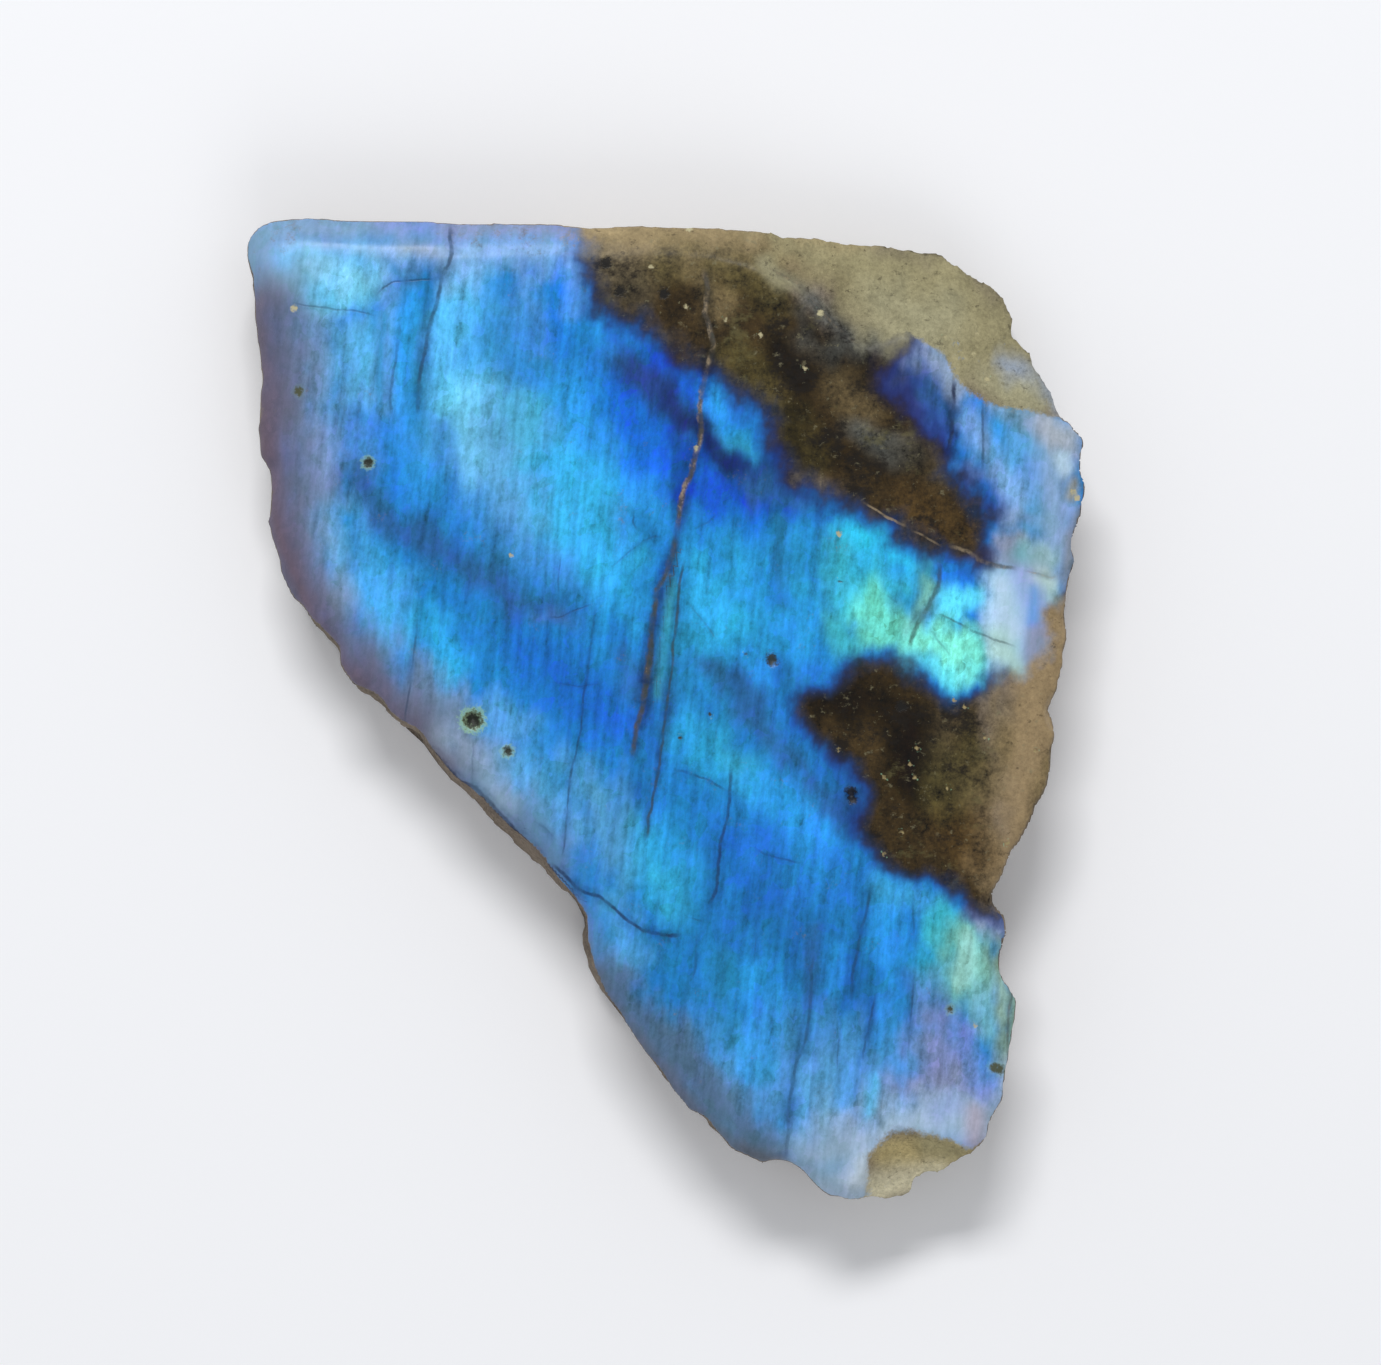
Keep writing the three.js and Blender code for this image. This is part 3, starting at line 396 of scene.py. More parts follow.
# Where a haze lies over the flash and blurs it: the width of its soft edge, how thick it is,
# and its points.
VEIL = (
    (2.5, 1.0, (-18.8, 21.0, 1.0), (-18.6, 14.0, 1.2), (-18.0, 9.0, 1.2), (-16.4, 4.4, 1.0),
     (-13.4, 0.8, 0.8), (-9.8, -2.6, 0.8), (-5.6, -7.0, 0.8), (-4.0, -9.6, 0.6)),
    (1.6, 0.8, (-4.0, -10.6, 0.3), (-2.4, -13.8, 0.5), (0.6, -17.6, 0.6), (4.0, -20.4, 0.8),
     (8.0, -21.6, 1.6), (13.6, -19.0, 1.4)),
    (1.0, 1.0, (16.4, 5.6, 1.4), (16.8, 2.4, 1.4), (17.8, -0.6, 1.4)),
    (1.6, 0.6, (17.8, 12.6, 0.8), (17.8, 7.2, 0.8)),
    (1.2, 0.7, (-18.0, 21.6, 0.6), (-4.0, 21.8, 0.6)),
)

# Brush strokes of the body, which shows where there is no flash, on the sides and on the back.
BODY = (
    ("umber", 2.0, 1.0, (-2.4, 19.6, 1.6), (3.4, 17.6, 2.6), (7.2, 14.2, 3.0),
     (10.2, 11.6, 3.0), (13.0, 9.0, 2.2)),
    ("olive", 1.8, 0.9, (-4.4, 21.4, 0.8), (0.0, 21.3, 1.0), (6.0, 21.2, 1.2)),
    ("pale olive", 1.4, 0.95, (-4.4, 21.6, 0.7), (0.6, 21.5, 0.6), (4.0, 21.7, 0.4)),
    ("olive grey", 1.8, 0.8, (-3.6, 20.2, 0.6), (-1.4, 19.4, 0.6)),
    ("dark olive", 1.6, 0.7, (0.0, 20.2, 0.4), (2.6, 20.2, 0.6), (5.0, 19.2, 0.4)),
    ("olive", 1.2, 0.6, (1.4, 19.8, 0.3), (2.6, 18.2, 0.4)),
    ("dark olive", 1.2, 0.6, (3.2, 16.2, 0.4), (5.2, 13.4, 0.6), (6.6, 11.4, 0.6)),
    ("olive", 1.2, 0.35, (8.2, 14.8, 0.4), (9.2, 13.4, 0.5)),
    ("slate stone", 1.0, 0.6, (8.8, 12.6, 0.3), (10.4, 11.8, 0.4)),
    ("olive grey", 1.2, 0.35, (11.2, 11.8, 0.4), (12.6, 10.8, 0.4)),
    ("pale stone", 0.7, 0.6, (4.7, 20.2, 0.15), (6.2, 19.2, 0.15)),
    ("slate stone", 1.2, 0.8, (6.8, 18.6, 0.3), (8.4, 17.0, 0.3), (9.8, 16.8, 0.3)),
    ("slate stone", 0.8, 0.35, (6.4, 16.8, 0.1), (7.6, 16.2, 0.2)),
    ("black", 1.2, 0.4, (-2.2, 18.9, 0.1), (0.2, 18.6, 0.2)),
    ("black", 0.9, 0.75, (5.2, 16.1, 0.2), (6.4, 15.0, 0.3)),
    ("black", 1.2, 0.6, (6.0, 13.4, 0.3), (6.2, 11.2, 0.4)),
    ("black", 1.4, 0.5, (6.6, 17.4, 0.4), (9.0, 15.4, 0.5)),
    ("black", 1.4, 0.5, (8.2, 11.8, 0.5), (10.6, 11.2, 0.5)),
    ("rust", 1.4, 0.7, (11.2, 9.2, 0.6), (13.4, 8.2, 0.6)),
    ("stone", 2.0, 1.0, (6.0, 21.8, 0.6), (9.2, 20.0, 1.4), (13.0, 18.0, 2.2), (16.4, 15.4, 1.2)),
    ("pale olive", 1.0, 0.6, (6.6, 21.8, 0.3), (9.4, 21.6, 0.4)),
    ("pale stone", 1.0, 0.7, (15.4, 15.0, 0.3), (17.0, 14.4, 0.3)),
    ("pale stone", 1.8, 0.6, (10.0, 18.6, 0.6), (12.4, 17.6, 0.8)),
    ("olive", 1.6, 0.25, (7.4, 19.6, 0.3), (8.4, 17.9, 0.3)),
    ("pale stone", 1.2, 0.5, (14.6, 15.4, 0.3), (17.4, 14.0, 0.3)),
    ("stone blue", 0.9, 0.8, (15.5, 15.8, 0.3), (16.2, 15.4, 0.3)),
    ("stone blue", 0.7, 0.6, (17.3, 15.0, 0.2), (18.0, 13.8, 0.2)),
    ("umber", 1.6, 1.0, (7.6, 0.2, 2.2), (11.4, -1.6, 3.0), (11.4, -4.4, 3.0), (13.4, -7.4, 2.4)),
    ("black", 1.2, 0.7, (7.0, 0.2, 0.5), (9.8, 0.4, 0.6), (10.8, -0.8, 0.6), (11.2, -3.0, 0.7)),
    ("olive grey", 1.6, 0.4, (13.0, -0.6, 0.3), (13.4, -3.2, 0.4)),
    ("black", 1.4, 0.5, (12.0, -1.0, 0.4), (12.2, -3.4, 0.4)),
    ("tan", 2.0, 0.98, (17.8, 4.2, 0.9), (17.0, 1.4, 1.3), (17.0, -1.6, 1.4), (16.8, -4.6, 1.2),
     (15.8, -7.6, 0.8)),
    ("dark olive", 1.0, 0.4, (15.4, 0.2, 0.2), (15.4, -1.4, 0.2), (14.8, -3.6, 0.3)),
    ("dark olive", 0.9, 0.5, (17.6, -2.6, 0.3), (17.0, -5.2, 0.2)),
    ("rust", 1.4, 0.6, (13.2, -5.6, 0.5), (14.4, -6.8, 0.5)),
    ("dark olive", 1.2, 0.6, (13.8, -1.6, 0.5), (12.8, -4.0, 0.4)),
    ("ochre", 1.0, 0.95, (10.2, -20.2, 0.6), (13.4, -20.2, 0.5)),
    ("straw", 1.2, 0.9, (9.6, -22.0, 0.5), (10.8, -21.6, 0.4), (12.8, -21.4, 0.3)),
    ("stone", 0.9, 0.8, (12.0, -19.8, 0.2), (13.4, -20.1, 0.2)),
    ("ledge", 1.0, 0.9, (-12.4, -1.0, 0.5), (-8.6, -4.8, 0.5), (-4.4, -9.4, 0.4)),
)

# The edges of the two dark patches, where the flash is missing. They run on past the slab's rim.
UPPER_DARK = (
    (-3.7, 23.5), (-3.6, 21.8), (-3.4, 20.4), (-3.1, 19.2), (-2.6, 18.4), (-1.9, 18.0),
    (-1.2, 17.7), (-0.4, 17.3), (0.3, 16.7), (1.0, 16.2), (1.8, 15.7), (2.5, 15.4),
    (3.2, 15.0), (4.4, 14.4), (4.8, 13.6), (5.3, 12.8), (5.5, 12.0), (5.7, 11.2), (6.2, 10.6),
    (7.0, 10.1), (8.2, 9.75), (9.0, 9.35), (10.0, 8.75), (11.1, 8.2), (12.2, 7.6),
    (13.5, 7.2), (14.3, 7.0), (14.3, 8.1), (14.4, 8.7), (14.1, 9.3), (13.7, 9.8),
    (13.1, 10.4), (12.6, 10.8), (12.4, 11.3), (12.0, 11.8), (11.8, 12.4), (10.9, 13.3),
    (10.4, 13.9), (9.5, 14.2), (9.5, 15.2), (10.2, 16.1), (10.4, 16.6), (12.0, 18.0),
    (13.0, 23.5),
)
LOWER_DARK = (
    (9.0, 2.0), (8.6, 1.6), (8.2, 1.1), (7.6, 0.7), (7.0, 0.6), (6.5, 0.4), (6.3, 0.0),
    (6.5, -0.5), (6.8, -1.0), (7.4, -1.4), (7.9, -2.0), (8.5, -2.4), (9.0, -2.8),
    (9.4, -3.4), (9.3, -4.2), (9.1, -4.9), (9.3, -5.7), (9.8, -6.4), (10.4, -6.9), (10.8, -7.2),
    (11.2, -7.5), (12.1, -7.2), (12.6, -7.4), (13.2, -8.1), (14.1, -8.9), (15.3, -9.3),
    (20.0, -10.4), (20.0, 4.9), (18.0, 4.8), (17.2, 4.6), (17.4, 3.8), (17.5, 3.2),
    (17.2, 2.4), (16.6, 1.9), (15.7, 1.4), (14.8, 0.8), (14.1, 0.2), (13.2, 0.0), (12.4, 0.3),
    (11.9, 0.8),
    (11.4, 1.3), (10.9, 1.8), (10.0, 2.1),
)
# How abruptly the flash ends at each of these edges.
DARK_FRINGE = ((UPPER_DARK, 0.75), (LOWER_DARK, 1.1))
# The light that the polish itself sends back, which the paints already show, and the least
# light that is left without it.
SHEEN = 0.007
DIMMEST = 0.001

# Rough places on the face: the ground shoulder and the broken facet at the foot.
SHOULDER = (
    (4.3, 23.5), (4.3, 20.4), (5.0, 19.8), (6.2, 19.3), (6.8, 18.5), (7.3, 17.9), (8.1, 17.3),
    (8.8, 16.7), (9.3, 16.5), (10.4, 16.9), (11.0, 17.1), (12.0, 16.6), (12.7, 16.1),
    (13.2, 15.2), (13.8, 14.6), (14.5, 14.0), (15.2, 13.8), (16.3, 13.6), (17.0, 13.4),
    (21.0, 12.8), (21.0, 23.5),
)
FOOT_FACET = (
    (9.1, -24.0), (9.3, -20.8), (9.5, -20.2), (10.0, -19.6), (10.4, -19.2), (11.2, -19.1),
    (12.0, -19.3), (12.8, -19.5), (13.4, -19.8), (14.1, -20.1), (16.0, -20.4), (16.0, -24.0),
)

# Steep lines: tint from 0, navy, to 1, tan; half breadth; strength; then the points.
STEEP_LINES = (
    (0.85, 0.14, 1.0, (1.75, 20.2), (1.9, 19.5), (1.95, 18.8), (1.9, 18.0), (2.0, 17.4),
     (2.2, 16.6), (1.9, 15.2), (1.75, 14.5), (1.65, 13.8), (1.75, 13.0), (1.65, 12.2),
     (1.35, 11.3), (1.2, 10.7), (1.05, 10.2), (0.85, 9.6), (0.75, 9.0), (0.7, 8.5), (0.6, 8.0)),
    (0.68, 0.15, 1.0, (0.6, 8.0), (0.5, 7.5), (0.35, 7.0), (0.2, 6.6), (0.0, 6.0),
     (-0.3, 5.4), (-0.35, 4.8), (-0.5, 4.2), (-0.6, 3.2), (-0.7, 2.0), (-0.85, 1.0),
     (-1.0, 0.0), (-1.2, -0.8), (-1.4, -1.8), (-1.5, -2.3)),
    (0.5, 0.075, 0.8, (0.9, 6.9), (0.75, 5.7), (0.7, 5.0), (0.6, 4.3), (0.5, 3.4), (0.35, 2.2),
     (0.2, 1.0), (0.1, 0.0), (0.0, -1.0), (-0.1, -2.0), (-0.3, -3.0), (-0.5, -4.0),
     (-0.65, -5.0), (-0.8, -6.0)),
    (0.25, 0.105, 0.8, (-9.75, 22.3), (-9.75, 21.5), (-9.65, 20.7), (-9.8, 20.2),
     (-10.1, 19.6), (-10.3, 18.5), (-10.6, 17.5), (-11.0, 16.0), (-11.2, 14.5), (-11.25, 13.2)),
    (0.2, 0.075, 0.45, (-12.0, 17.8), (-12.2, 16.0), (-12.4, 14.5), (-12.3, 13.0)),
    (0.2, 0.06, 0.5, (-11.2, 4.4), (-11.4, 2.0), (-11.65, 0.8), (-11.85, -0.8)),
    (0.2, 0.053, 0.35, (-8.7, -1.2), (-8.7, -3.5)),
    (0.1, 0.06, 0.55, (-3.1, 4.8), (-3.2, 4.0), (-3.35, 2.3), (-3.6, 1.0), (-3.75, 0.0),
     (-3.8, -1.0), (-4.15, -2.8), (-4.3, -3.8), (-4.4, -5.0), (-4.65, -6.8)),
    (0.15, 0.053, 0.4, (-4.6, 7.2), (-4.8, 5.8), (-4.85, 5.0)),
    (0.15, 0.06, 0.55, (-1.35, 9.2), (-1.4, 8.5), (-1.2, 7.9)),
    (0.1, 0.09, 0.75, (3.1, -2.5), (3.0, -4.0), (2.9, -5.0), (2.6, -6.0), (2.5, -7.0),
     (2.4, -7.9), (2.3, -8.4), (1.9, -9.2)),
    (0.45, 0.068, 0.4, (8.0, 8.8), (7.8, 7.6), (7.7, 7.0)),
    (0.9, 0.053, 0.5, (7.1, 10.8), (7.2, 9.8)),
    (0.0, 0.12, 1.0, (13.2, 15.2), (13.15, 14.0), (13.05, 12.6), (12.8, 11.2)),
    (0.2, 0.068, 0.6, (14.5, 14.1), (14.45, 12.4), (14.5, 10.8)),
    (0.55, 0.12, 0.7, (12.5, 7.0), (12.5, 5.6), (12.2, 5.0), (11.9, 4.4), (11.6, 4.0),
     (11.3, 3.3), (11.0, 2.5)),
    (0.2, 0.08, 0.55, (9.6, -7.7), (9.3, -8.6), (9.0, -9.8), (8.8, -11.0), (8.6, -12.0),
     (8.4, -13.4)),
    (0.25, 0.06, 0.55, (9.65, -12.8), (9.45, -14.0), (9.2, -15.0), (9.0, -16.1)),
    (0.25, 0.053, 0.5, (11.35, -12.2), (11.2, -14.0), (11.1, -15.7)),
    (0.2, 0.045, 0.3, (11.4, -8.6), (11.3, -10.6)),
    (0.25, 0.045, 0.35, (4.15, -10.0), (4.1, -11.8)),
    (0.2, 0.045, 0.35, (8.0, -14.6), (7.9, -16.6)),
    (0.1, 0.06, 0.5, (6.0, -7.9), (6.2, -8.7)),
    (0.3, 0.09, 0.5, (6.8, -11.0), (6.7, -12.5), (6.6, -14.0), (6.35, -15.2), (6.05, -16.2),
     (5.85, -17.2), (5.65, -18.6), (5.5, -20.7)),
    (0.3, 0.06, 0.35, (1.5, -10.0), (1.4, -11.5), (1.2, -12.5)),
    (0.75, 0.075, 0.5, (15.9, -12.0), (15.7, -14.0), (15.6, -16.0)),
)

# Lines that run across the steep ones.
CROSS_LINES = (
    (0.15, 0.06, 0.6, (-13.2, 18.6), (-12.8, 19.1), (-12.3, 19.45), (-11.2, 19.5),
     (-10.2, 19.6)),
    (0.25, 0.053, 0.45, (-17.0, 18.4), (-16.0, 18.3), (-15.0, 18.2), (-13.0, 17.9)),
    (0.15, 0.053, 0.5, (-5.4, 4.2), (-4.7, 4.2), (-4.0, 4.5), (-3.1, 4.85)),
    (0.1, 0.053, 0.4, (-2.6, 6.3), (-1.8, 6.9), (-1.0, 7.6), (-0.5, 7.85), (0.1, 7.8)),
    (0.1, 0.045, 0.35, (-5.3, 1.3), (-3.8, 1.0), (-2.6, 1.3)),
    (0.1, 0.045, 0.3, (-4.0, -1.6), (-3.2, -2.0)),
    (0.3, 0.053, 0.45, (-6.1, -5.0), (-5.4, -5.4), (-4.8, -6.0)),
    (0.15, 0.068, 0.6, (0.3, -2.7), (1.2, -2.9), (2.0, -3.2), (2.6, -3.5), (3.0, -3.8)),
    (0.1, 0.06, 0.5, (4.0, -6.2), (4.5, -6.6), (5.0, -6.8), (5.7, -6.9), (6.3, -7.05)),
    (0.05, 0.098, 0.85, (-5.3, -7.0), (-4.8, -7.3), (-3.9, -8.2), (-2.8, -8.6), (-1.9, -9.4),
     (-1.1, -10.1), (0.2, -10.35), (0.95, -10.25)),
    (0.2, 0.053, 0.4, (0.9, -9.4), (1.4, -9.55), (2.0, -9.7)),
    (0.55, 0.053, 0.35, (1.0, 5.0), (1.5, 4.3), (2.0, 3.7), (2.5, 3.0)),
    (0.3, 0.06, 0.4, (1.2, 8.1), (2.0, 8.5), (2.5, 9.0)),
    (0.5, 0.06, 0.6, (12.3, 4.4), (13.1, 4.1), (14.0, 3.6), (14.8, 3.2), (16.1, 2.8)),
    (0.4, 0.053, 0.5, (11.9, 3.9), (12.7, 2.8), (13.1, 2.2)),
    (0.4, 0.053, 0.4, (10.0, 5.3), (10.7, 4.75)),
    (1.0, 0.06, 0.9, (9.0, 9.4), (9.6, 9.05), (10.1, 8.7), (10.6, 8.5), (11.2, 8.3)),
    (1.0, 0.05, 0.7, (11.2, 8.15), (11.7, 7.95), (12.1, 7.7), (12.7, 7.4)),
    (1.0, 0.1, 0.9, (12.8, 7.5), (13.4, 7.35), (13.9, 7.1), (14.4, 6.8)),
    (0.85, 0.1, 0.8, (14.0, 6.9), (14.6, 6.65), (15.2, 6.5), (16.3, 6.4)),
    (0.95, 0.053, 0.6, (16.2, 6.4), (16.9, 6.15), (17.6, 6.0), (18.1, 6.1)),
    (0.05, 0.105, 0.85, (-11.2, -1.35), (-10.67, -1.8), (-9.93, -2.53), (-9.35, -3.26),
     (-8.6, -3.6), (-7.9, -4.3), (-6.6, -5.7), (-5.3, -7.2), (-4.0, -9.0)),
    (0.9, 0.075, 0.5, (4.6, 20.2), (6.2, 19.3), (7.3, 17.9), (8.8, 16.6)),
    (0.7, 0.075, 0.5, (10.8, 20.6), (11.5, 20.0)),
    (0.7, 0.075, 0.4, (12.4, 19.2), (13.5, 18.8), (14.2, 18.4)),
)

# Round marks: tint from 0, black, to 1, pale stone; halo; radius; then the places. The palest
# specks are partly pale grains and partly painted glints.
MARKS = (
    (0.0, 0.9, 0.36, (-8.7, -0.5)),
    (0.05, 0.6, 0.2, (-7.1, -1.92), (-13.45, 11.2)),
    (0.35, 0.1, 0.2, (-16.6, 14.45)),
    (0.1, 0.0, 0.3, (4.9, 2.25)),
    (0.0, 0.0, 0.24, (8.5, -3.75), (8.55, -4.1)),
    (0.25, 0.3, 0.16, (13.0, -13.65)),
    (0.35, 0.2, 0.2, (15.0, -16.3), (15.3, -16.4)),
    (0.15, 0.0, 0.1, (0.75, -1.3), (2.1, -0.25), (3.7, 2.5), (8.0, 5.8)),
    (0.0, 0.0, 0.25, (10.8, 0.1), (-2.6, 20.3), (-2.0, 19.0), (0.0, 18.9)),
    (1.0, 0.0, 0.15, (1.15, 21.9), (4.5, 21.85), (7.5, 20.9), (7.1, 18.0), (-16.8, 18.2)),
    (0.95, 0.0, 0.11, (10.3, 20.6), (2.8, 17.7), (4.4, 17.0), (6.4, 15.5), (1.0, 18.3),
     (-0.6, 20.1), (14.1, 16.2), (14.3, 17.1), (12.8, 16.9), (14.7, 15.0), (14.6, 18.0),
     (13.3, 20.3), (15.1, 18.6), (-6.95, 7.0), (14.15, -14.4)),
    (0.95, 0.0, 0.13, (1.45, 11.85), (7.95, 7.95), (18.6, 9.9), (18.8, 9.6)),
    (0.75, 0.0, 0.1, (13.2, 0.4), (13.65, 0.1), (14.6, -1.3), (11.5, -1.8), (11.2, -2.5),
     (11.4, -3.1), (10.0, -3.1), (12.9, -3.6), (15.6, -6.1), (10.8, -5.6), (16.9, -1.9),
     (10.0, -6.6), (7.95, -1.85)),
)

# The shade of a line ends this far from it, and the line thins out over this length at its ends.
LINE_REACH = 0.5
LINE_END = 0.7
# A mark's ring ends before this many radii.
MARK_REACH = 3.0
# The grit moves the edge of a brush stroke with its softness, up to this one.
GRIT_SOFTNESS = 1.8


def linear(colour, opacity=1.0):
    """A colour as it looks, given up to 255, as the linear values that shaders take."""
    shares = [value / 255 for value in colour]
    steps = [s / 12.92 if s <= 0.04045 else ((s + 0.055) / 1.055) ** 2.4 for s in shares]
    return (*steps, opacity)


def smooth_step(low, high, value):
    """0 at low, 1 at high and an even curve between them. Low may be the larger of the two."""
    share = np.clip((value - low) / (high - low), 0, 1)
    return share * share * (3 - 2 * share)


def lattice(i, j, k, seed):
    """A fixed random number from 0 to 1 for each whole-numbered place."""
    mixed = np.sin(i * 127.1 + j * 311.7 + k * 74.7 + seed * 53.3) * 43758.5453
    return mixed - np.floor(mixed)


def noise(x, y, z, seed):
    """Smooth noise from -1 to 1, about one swing to a unit."""
    i, j, k = np.floor(x), np.floor(y), np.floor(z)
    u, v, w = (smooth_step(0, 1, value) for value in (x - i, y - j, z - k))
    total = np.zeros_like(x)
    for a, b, c in np.ndindex(2, 2, 2):
        share = (u if a else 1 - u) * (v if b else 1 - v) * (w if c else 1 - w)
        total += share * lattice(i + a, j + b, k + c, seed)
    return 2 * total - 1


def fractal(x, y, z, size, seed):
    """Noise of this size with finer noise on it."""
    total = np.zeros_like(x)
    for octave in range(4):
        fine = 2.0**octave / size
        total += noise(x * fine, y * fine, z * fine, seed + octave) / 2**octave
    return total


def near_segment(x, y, start, end):
    """Distance to a segment, the share of its length at the foot, and the side it is on."""
    run = np.subtract(end[:2], start[:2])
    square = max(float(run @ run), 1e-9)
    across, along = x - start[0], y - start[1]
    share = np.clip((across * run[0] + along * run[1]) / square, 0, 1)
    gap = np.hypot(across - share * run[0], along - share * run[1])
    side = np.sign(run[0] * along - run[1] * across)
    return gap, share, side


def column_tone(column, along):
    """A column's tone, from -1 to 1, which steps from block to block along it."""
    place = along + 7 * lattice(column, 0, 0, 61)
    row = np.floor(place)
    first, second = (2 * lattice(column, row + step, 0, 62) - 1 for step in (0, 1))
    return first + smooth_step(0.85, 1, place - row) * (second - first)


def panel_tone(x, y, z):
    """The tone of the block at each place, from -1 to 1, which steps softly to the next."""
    across = (x - LEAN * y + 0.35 * noise(x / 2.2, y / 2.2, z / 2.2, 63)) / PANEL_WIDTH
    column = np.floor(across)
    left, right = (column_tone(column + step, y / PANEL_LENGTH) for step in (0, 1))
    return left + smooth_step(0.8, 1, across - column) * (right - left)


def stroke_cover(x, y, points, soft, grit):
    """How much a brush stroke covers each place, with its edge broken up by the grit."""
    nearest = np.full_like(x, 1e9)
    for start, end in zip(points, points[1:]):
        gap, share, _ = near_segment(x, y, start, end)
        nearest = np.minimum(nearest, gap - start[2] - share * (end[2] - start[2]))
    return 1 - smooth_step(-0.3 * soft, 0.9 * soft, nearest + grit * min(soft, GRIT_SOFTNESS))


def painted(x, y, ground, strokes, grit):
    """The colour at each place after all strokes, as linear red, green and blue."""
    colour = np.tile(linear(PAINTS[ground])[:3], (len(x), 1))
    for paint, soft, cover, *points in strokes:
        share = cover * stroke_cover(x, y, points, soft, grit)[:, None]
        colour += share * (np.array(linear(PAINTS[paint])[:3]) - colour)
    return colour


def depth_in(x, y, outline):
    """Distance to a closed outline, below 0 inside it."""
    best = np.full_like(x, 1e9)
    inside = np.zeros(len(x), bool)
    for start, end in zip(outline, outline[1:] + outline[:1]):
        best = np.minimum(best, near_segment(x, y, start, end)[0])
        spans = (start[1] > y) != (end[1] > y)
        rise = (end[1] - start[1]) or 1e-9
        inside ^= spans & (x < start[0] + (y - start[1]) * (end[0] - start[0]) / rise)
    return np.where(inside, -best, best)


def line_field(x, y, lines):
    """For each place, its side of the nearest line in half breadths, and that line's
    strength and tint there."""
    nearest = np.full_like(x, 1e9)
    field = np.zeros((len(x), 3))
    for tint, breadth, strength, *points in lines:
        lengths = [math.dist(a, b) for a, b in zip(points, points[1:])]
        done = 0.0
        for start, end, length in zip(points, points[1:], lengths):
            gap, share, side = near_segment(x, y, start, end)
            walked = done + share * length
            done += length
            close = gap < nearest
            ends = smooth_step(0, LINE_END, np.minimum(walked, sum(lengths) - walked))
            reach = 1 - smooth_step(0.6 * LINE_REACH, LINE_REACH, gap)
            found = np.stack([side * gap / breadth, strength * ends * reach, tint + 0 * gap], 1)
            field[close] = found[close]
            nearest[close] = gap[close]
    return field


def mark_field(x, y, marks):
    """For each place, the distance to the nearest mark in radii, its tint and its halo."""
    field = np.full((len(x), 3), MARK_REACH)
    for tint, halo, radius, *places in marks:
        for place in places:
            gap = np.hypot(x - place[0], y - place[1]) / radius
            close = gap < field[:, 0]
            field[close] = np.stack([gap, tint + 0 * gap, halo + 0 * gap], 1)[close]
    return field


def deselect():
    """Clears the selection, because operators act on all that is selected."""
    bpy.ops.object.select_all(action="DESELECT")


def use_modifier(piece, kind, **settings):
    """Adds a modifier with these settings and applies it."""
    modifier = piece.modifiers.new(kind.lower(), kind)
    for name, value in settings.items():
        setattr(modifier, name, value)
    bpy.context.view_layer.objects.active = piece
    bpy.ops.object.modifier_apply(modifier=modifier.name)


def vertex_group(piece, name, weights):
    """Gives a piece a vertex group with these weights."""
    group = piece.vertex_groups.new(name=name)
    for index in np.flatnonzero(weights > 0.01):
        group.add([int(index)], float(weights[index]), "REPLACE")


def read_points(piece):
    """The vertices of a piece in millimetres, and their normals."""
    mesh = piece.data
    points = np.zeros(3 * len(mesh.vertices))
    normals = np.zeros_like(points)
    mesh.vertices.foreach_get("co", points)
    mesh.vertex_normals.foreach_get("vector", normals)
    return points.reshape(-1, 3) / MM, normals.reshape(-1, 3)


def move_points(piece, points):
    """Puts the vertices of a piece at these places, in millimetres."""
    piece.data.vertices.foreach_set("co", (points * MM).ravel())
    piece.data.update()


def fine_slab():
    """A copy of the slab, merged from its loose triangles and meshed finely."""
    deselect()
    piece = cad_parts[SLAB].copy()
    piece.data = piece.data.copy()
    piece.name = "labradorite_stone"
    piece.data.name = "labradorite_stone"
    piece.parent = None
    piece.data.materials.clear()
    for key in list(piece.keys()):
        del piece[key]
    bpy.context.collection.objects.link(piece)
    piece.select_set(True)
    bpy.context.view_layer.objects.active = piece
    bpy.ops.object.mode_set(mode="EDIT")
    bpy.ops.mesh.select_all(action="SELECT")
    bpy.ops.mesh.remove_doubles(threshold=1e-6)
    bpy.ops.object.mode_set(mode="OBJECT")
    use_modifier(piece, "REMESH", mode="VOXEL", voxel_size=GRID * MM, use_smooth_shade=True)
    return piece


def thin_back(piece):
    """Takes all the faces that the flat back can spare."""
    points, _ = read_points(piece)
    vertex_group(piece, "back", 1 - smooth_step(0.1, 0.3, points[:, 2]))
    use_modifier(piece, "DECIMATE", ratio=KEPT_FACES, vertex_group="back")


def soften_rims(piece):
    """Rounds the polished rims at the top left, where the mesh has facets."""
    points, _ = read_points(piece)
    x, y, z = points.T
    polished = smooth_step(2.5, 4.5, z) * smooth_step(9.0, 3.0, x)
    vertex_group(piece, "rims", polished * (z < THICKNESS - 0.002))
    use_modifier(piece, "SMOOTH", factor=0.5, iterations=24, vertex_group="rims")


def wall_share(points, normals, gentle, steep):
    """1 on the walls: where the stone is steep, by how far its normals point up, or low."""
    low = smooth_step(POLISH_WHOLE, POLISH_GONE, points[:, 2])
    return np.maximum(smooth_step(gentle, steep, normals[:, 2]), low)


def top_rim_wear(x, y):
    """How dull the rim along the straight edge is worn. It is brightest from X -15.5 to -10.5."""
    wear = 0.06 + 0.16 * smooth_step(-10.5, -9.5, x) + 0.08 * smooth_step(-5.0, -3.5, x)
    return smooth_step(20.2, 20.9, y) * (wear + 0.14 * smooth_step(-15.5, -17.0, x))


def rough_share(points, normals):
    """How rough the stone is at each place: 0 on the polished face, 1 on broken stone."""
    x, y, _ = points.T
    sides = wall_share(points, normals, 0.55, 0.25)
    ground = smooth_step(0.35, -0.35, depth_in(x, y, SHOULDER))
    broken = smooth_step(0.4, -0.4, depth_in(x, y, FOOT_FACET))
    return np.maximum.reduce([sides, ground, broken, top_rim_wear(x, y)])


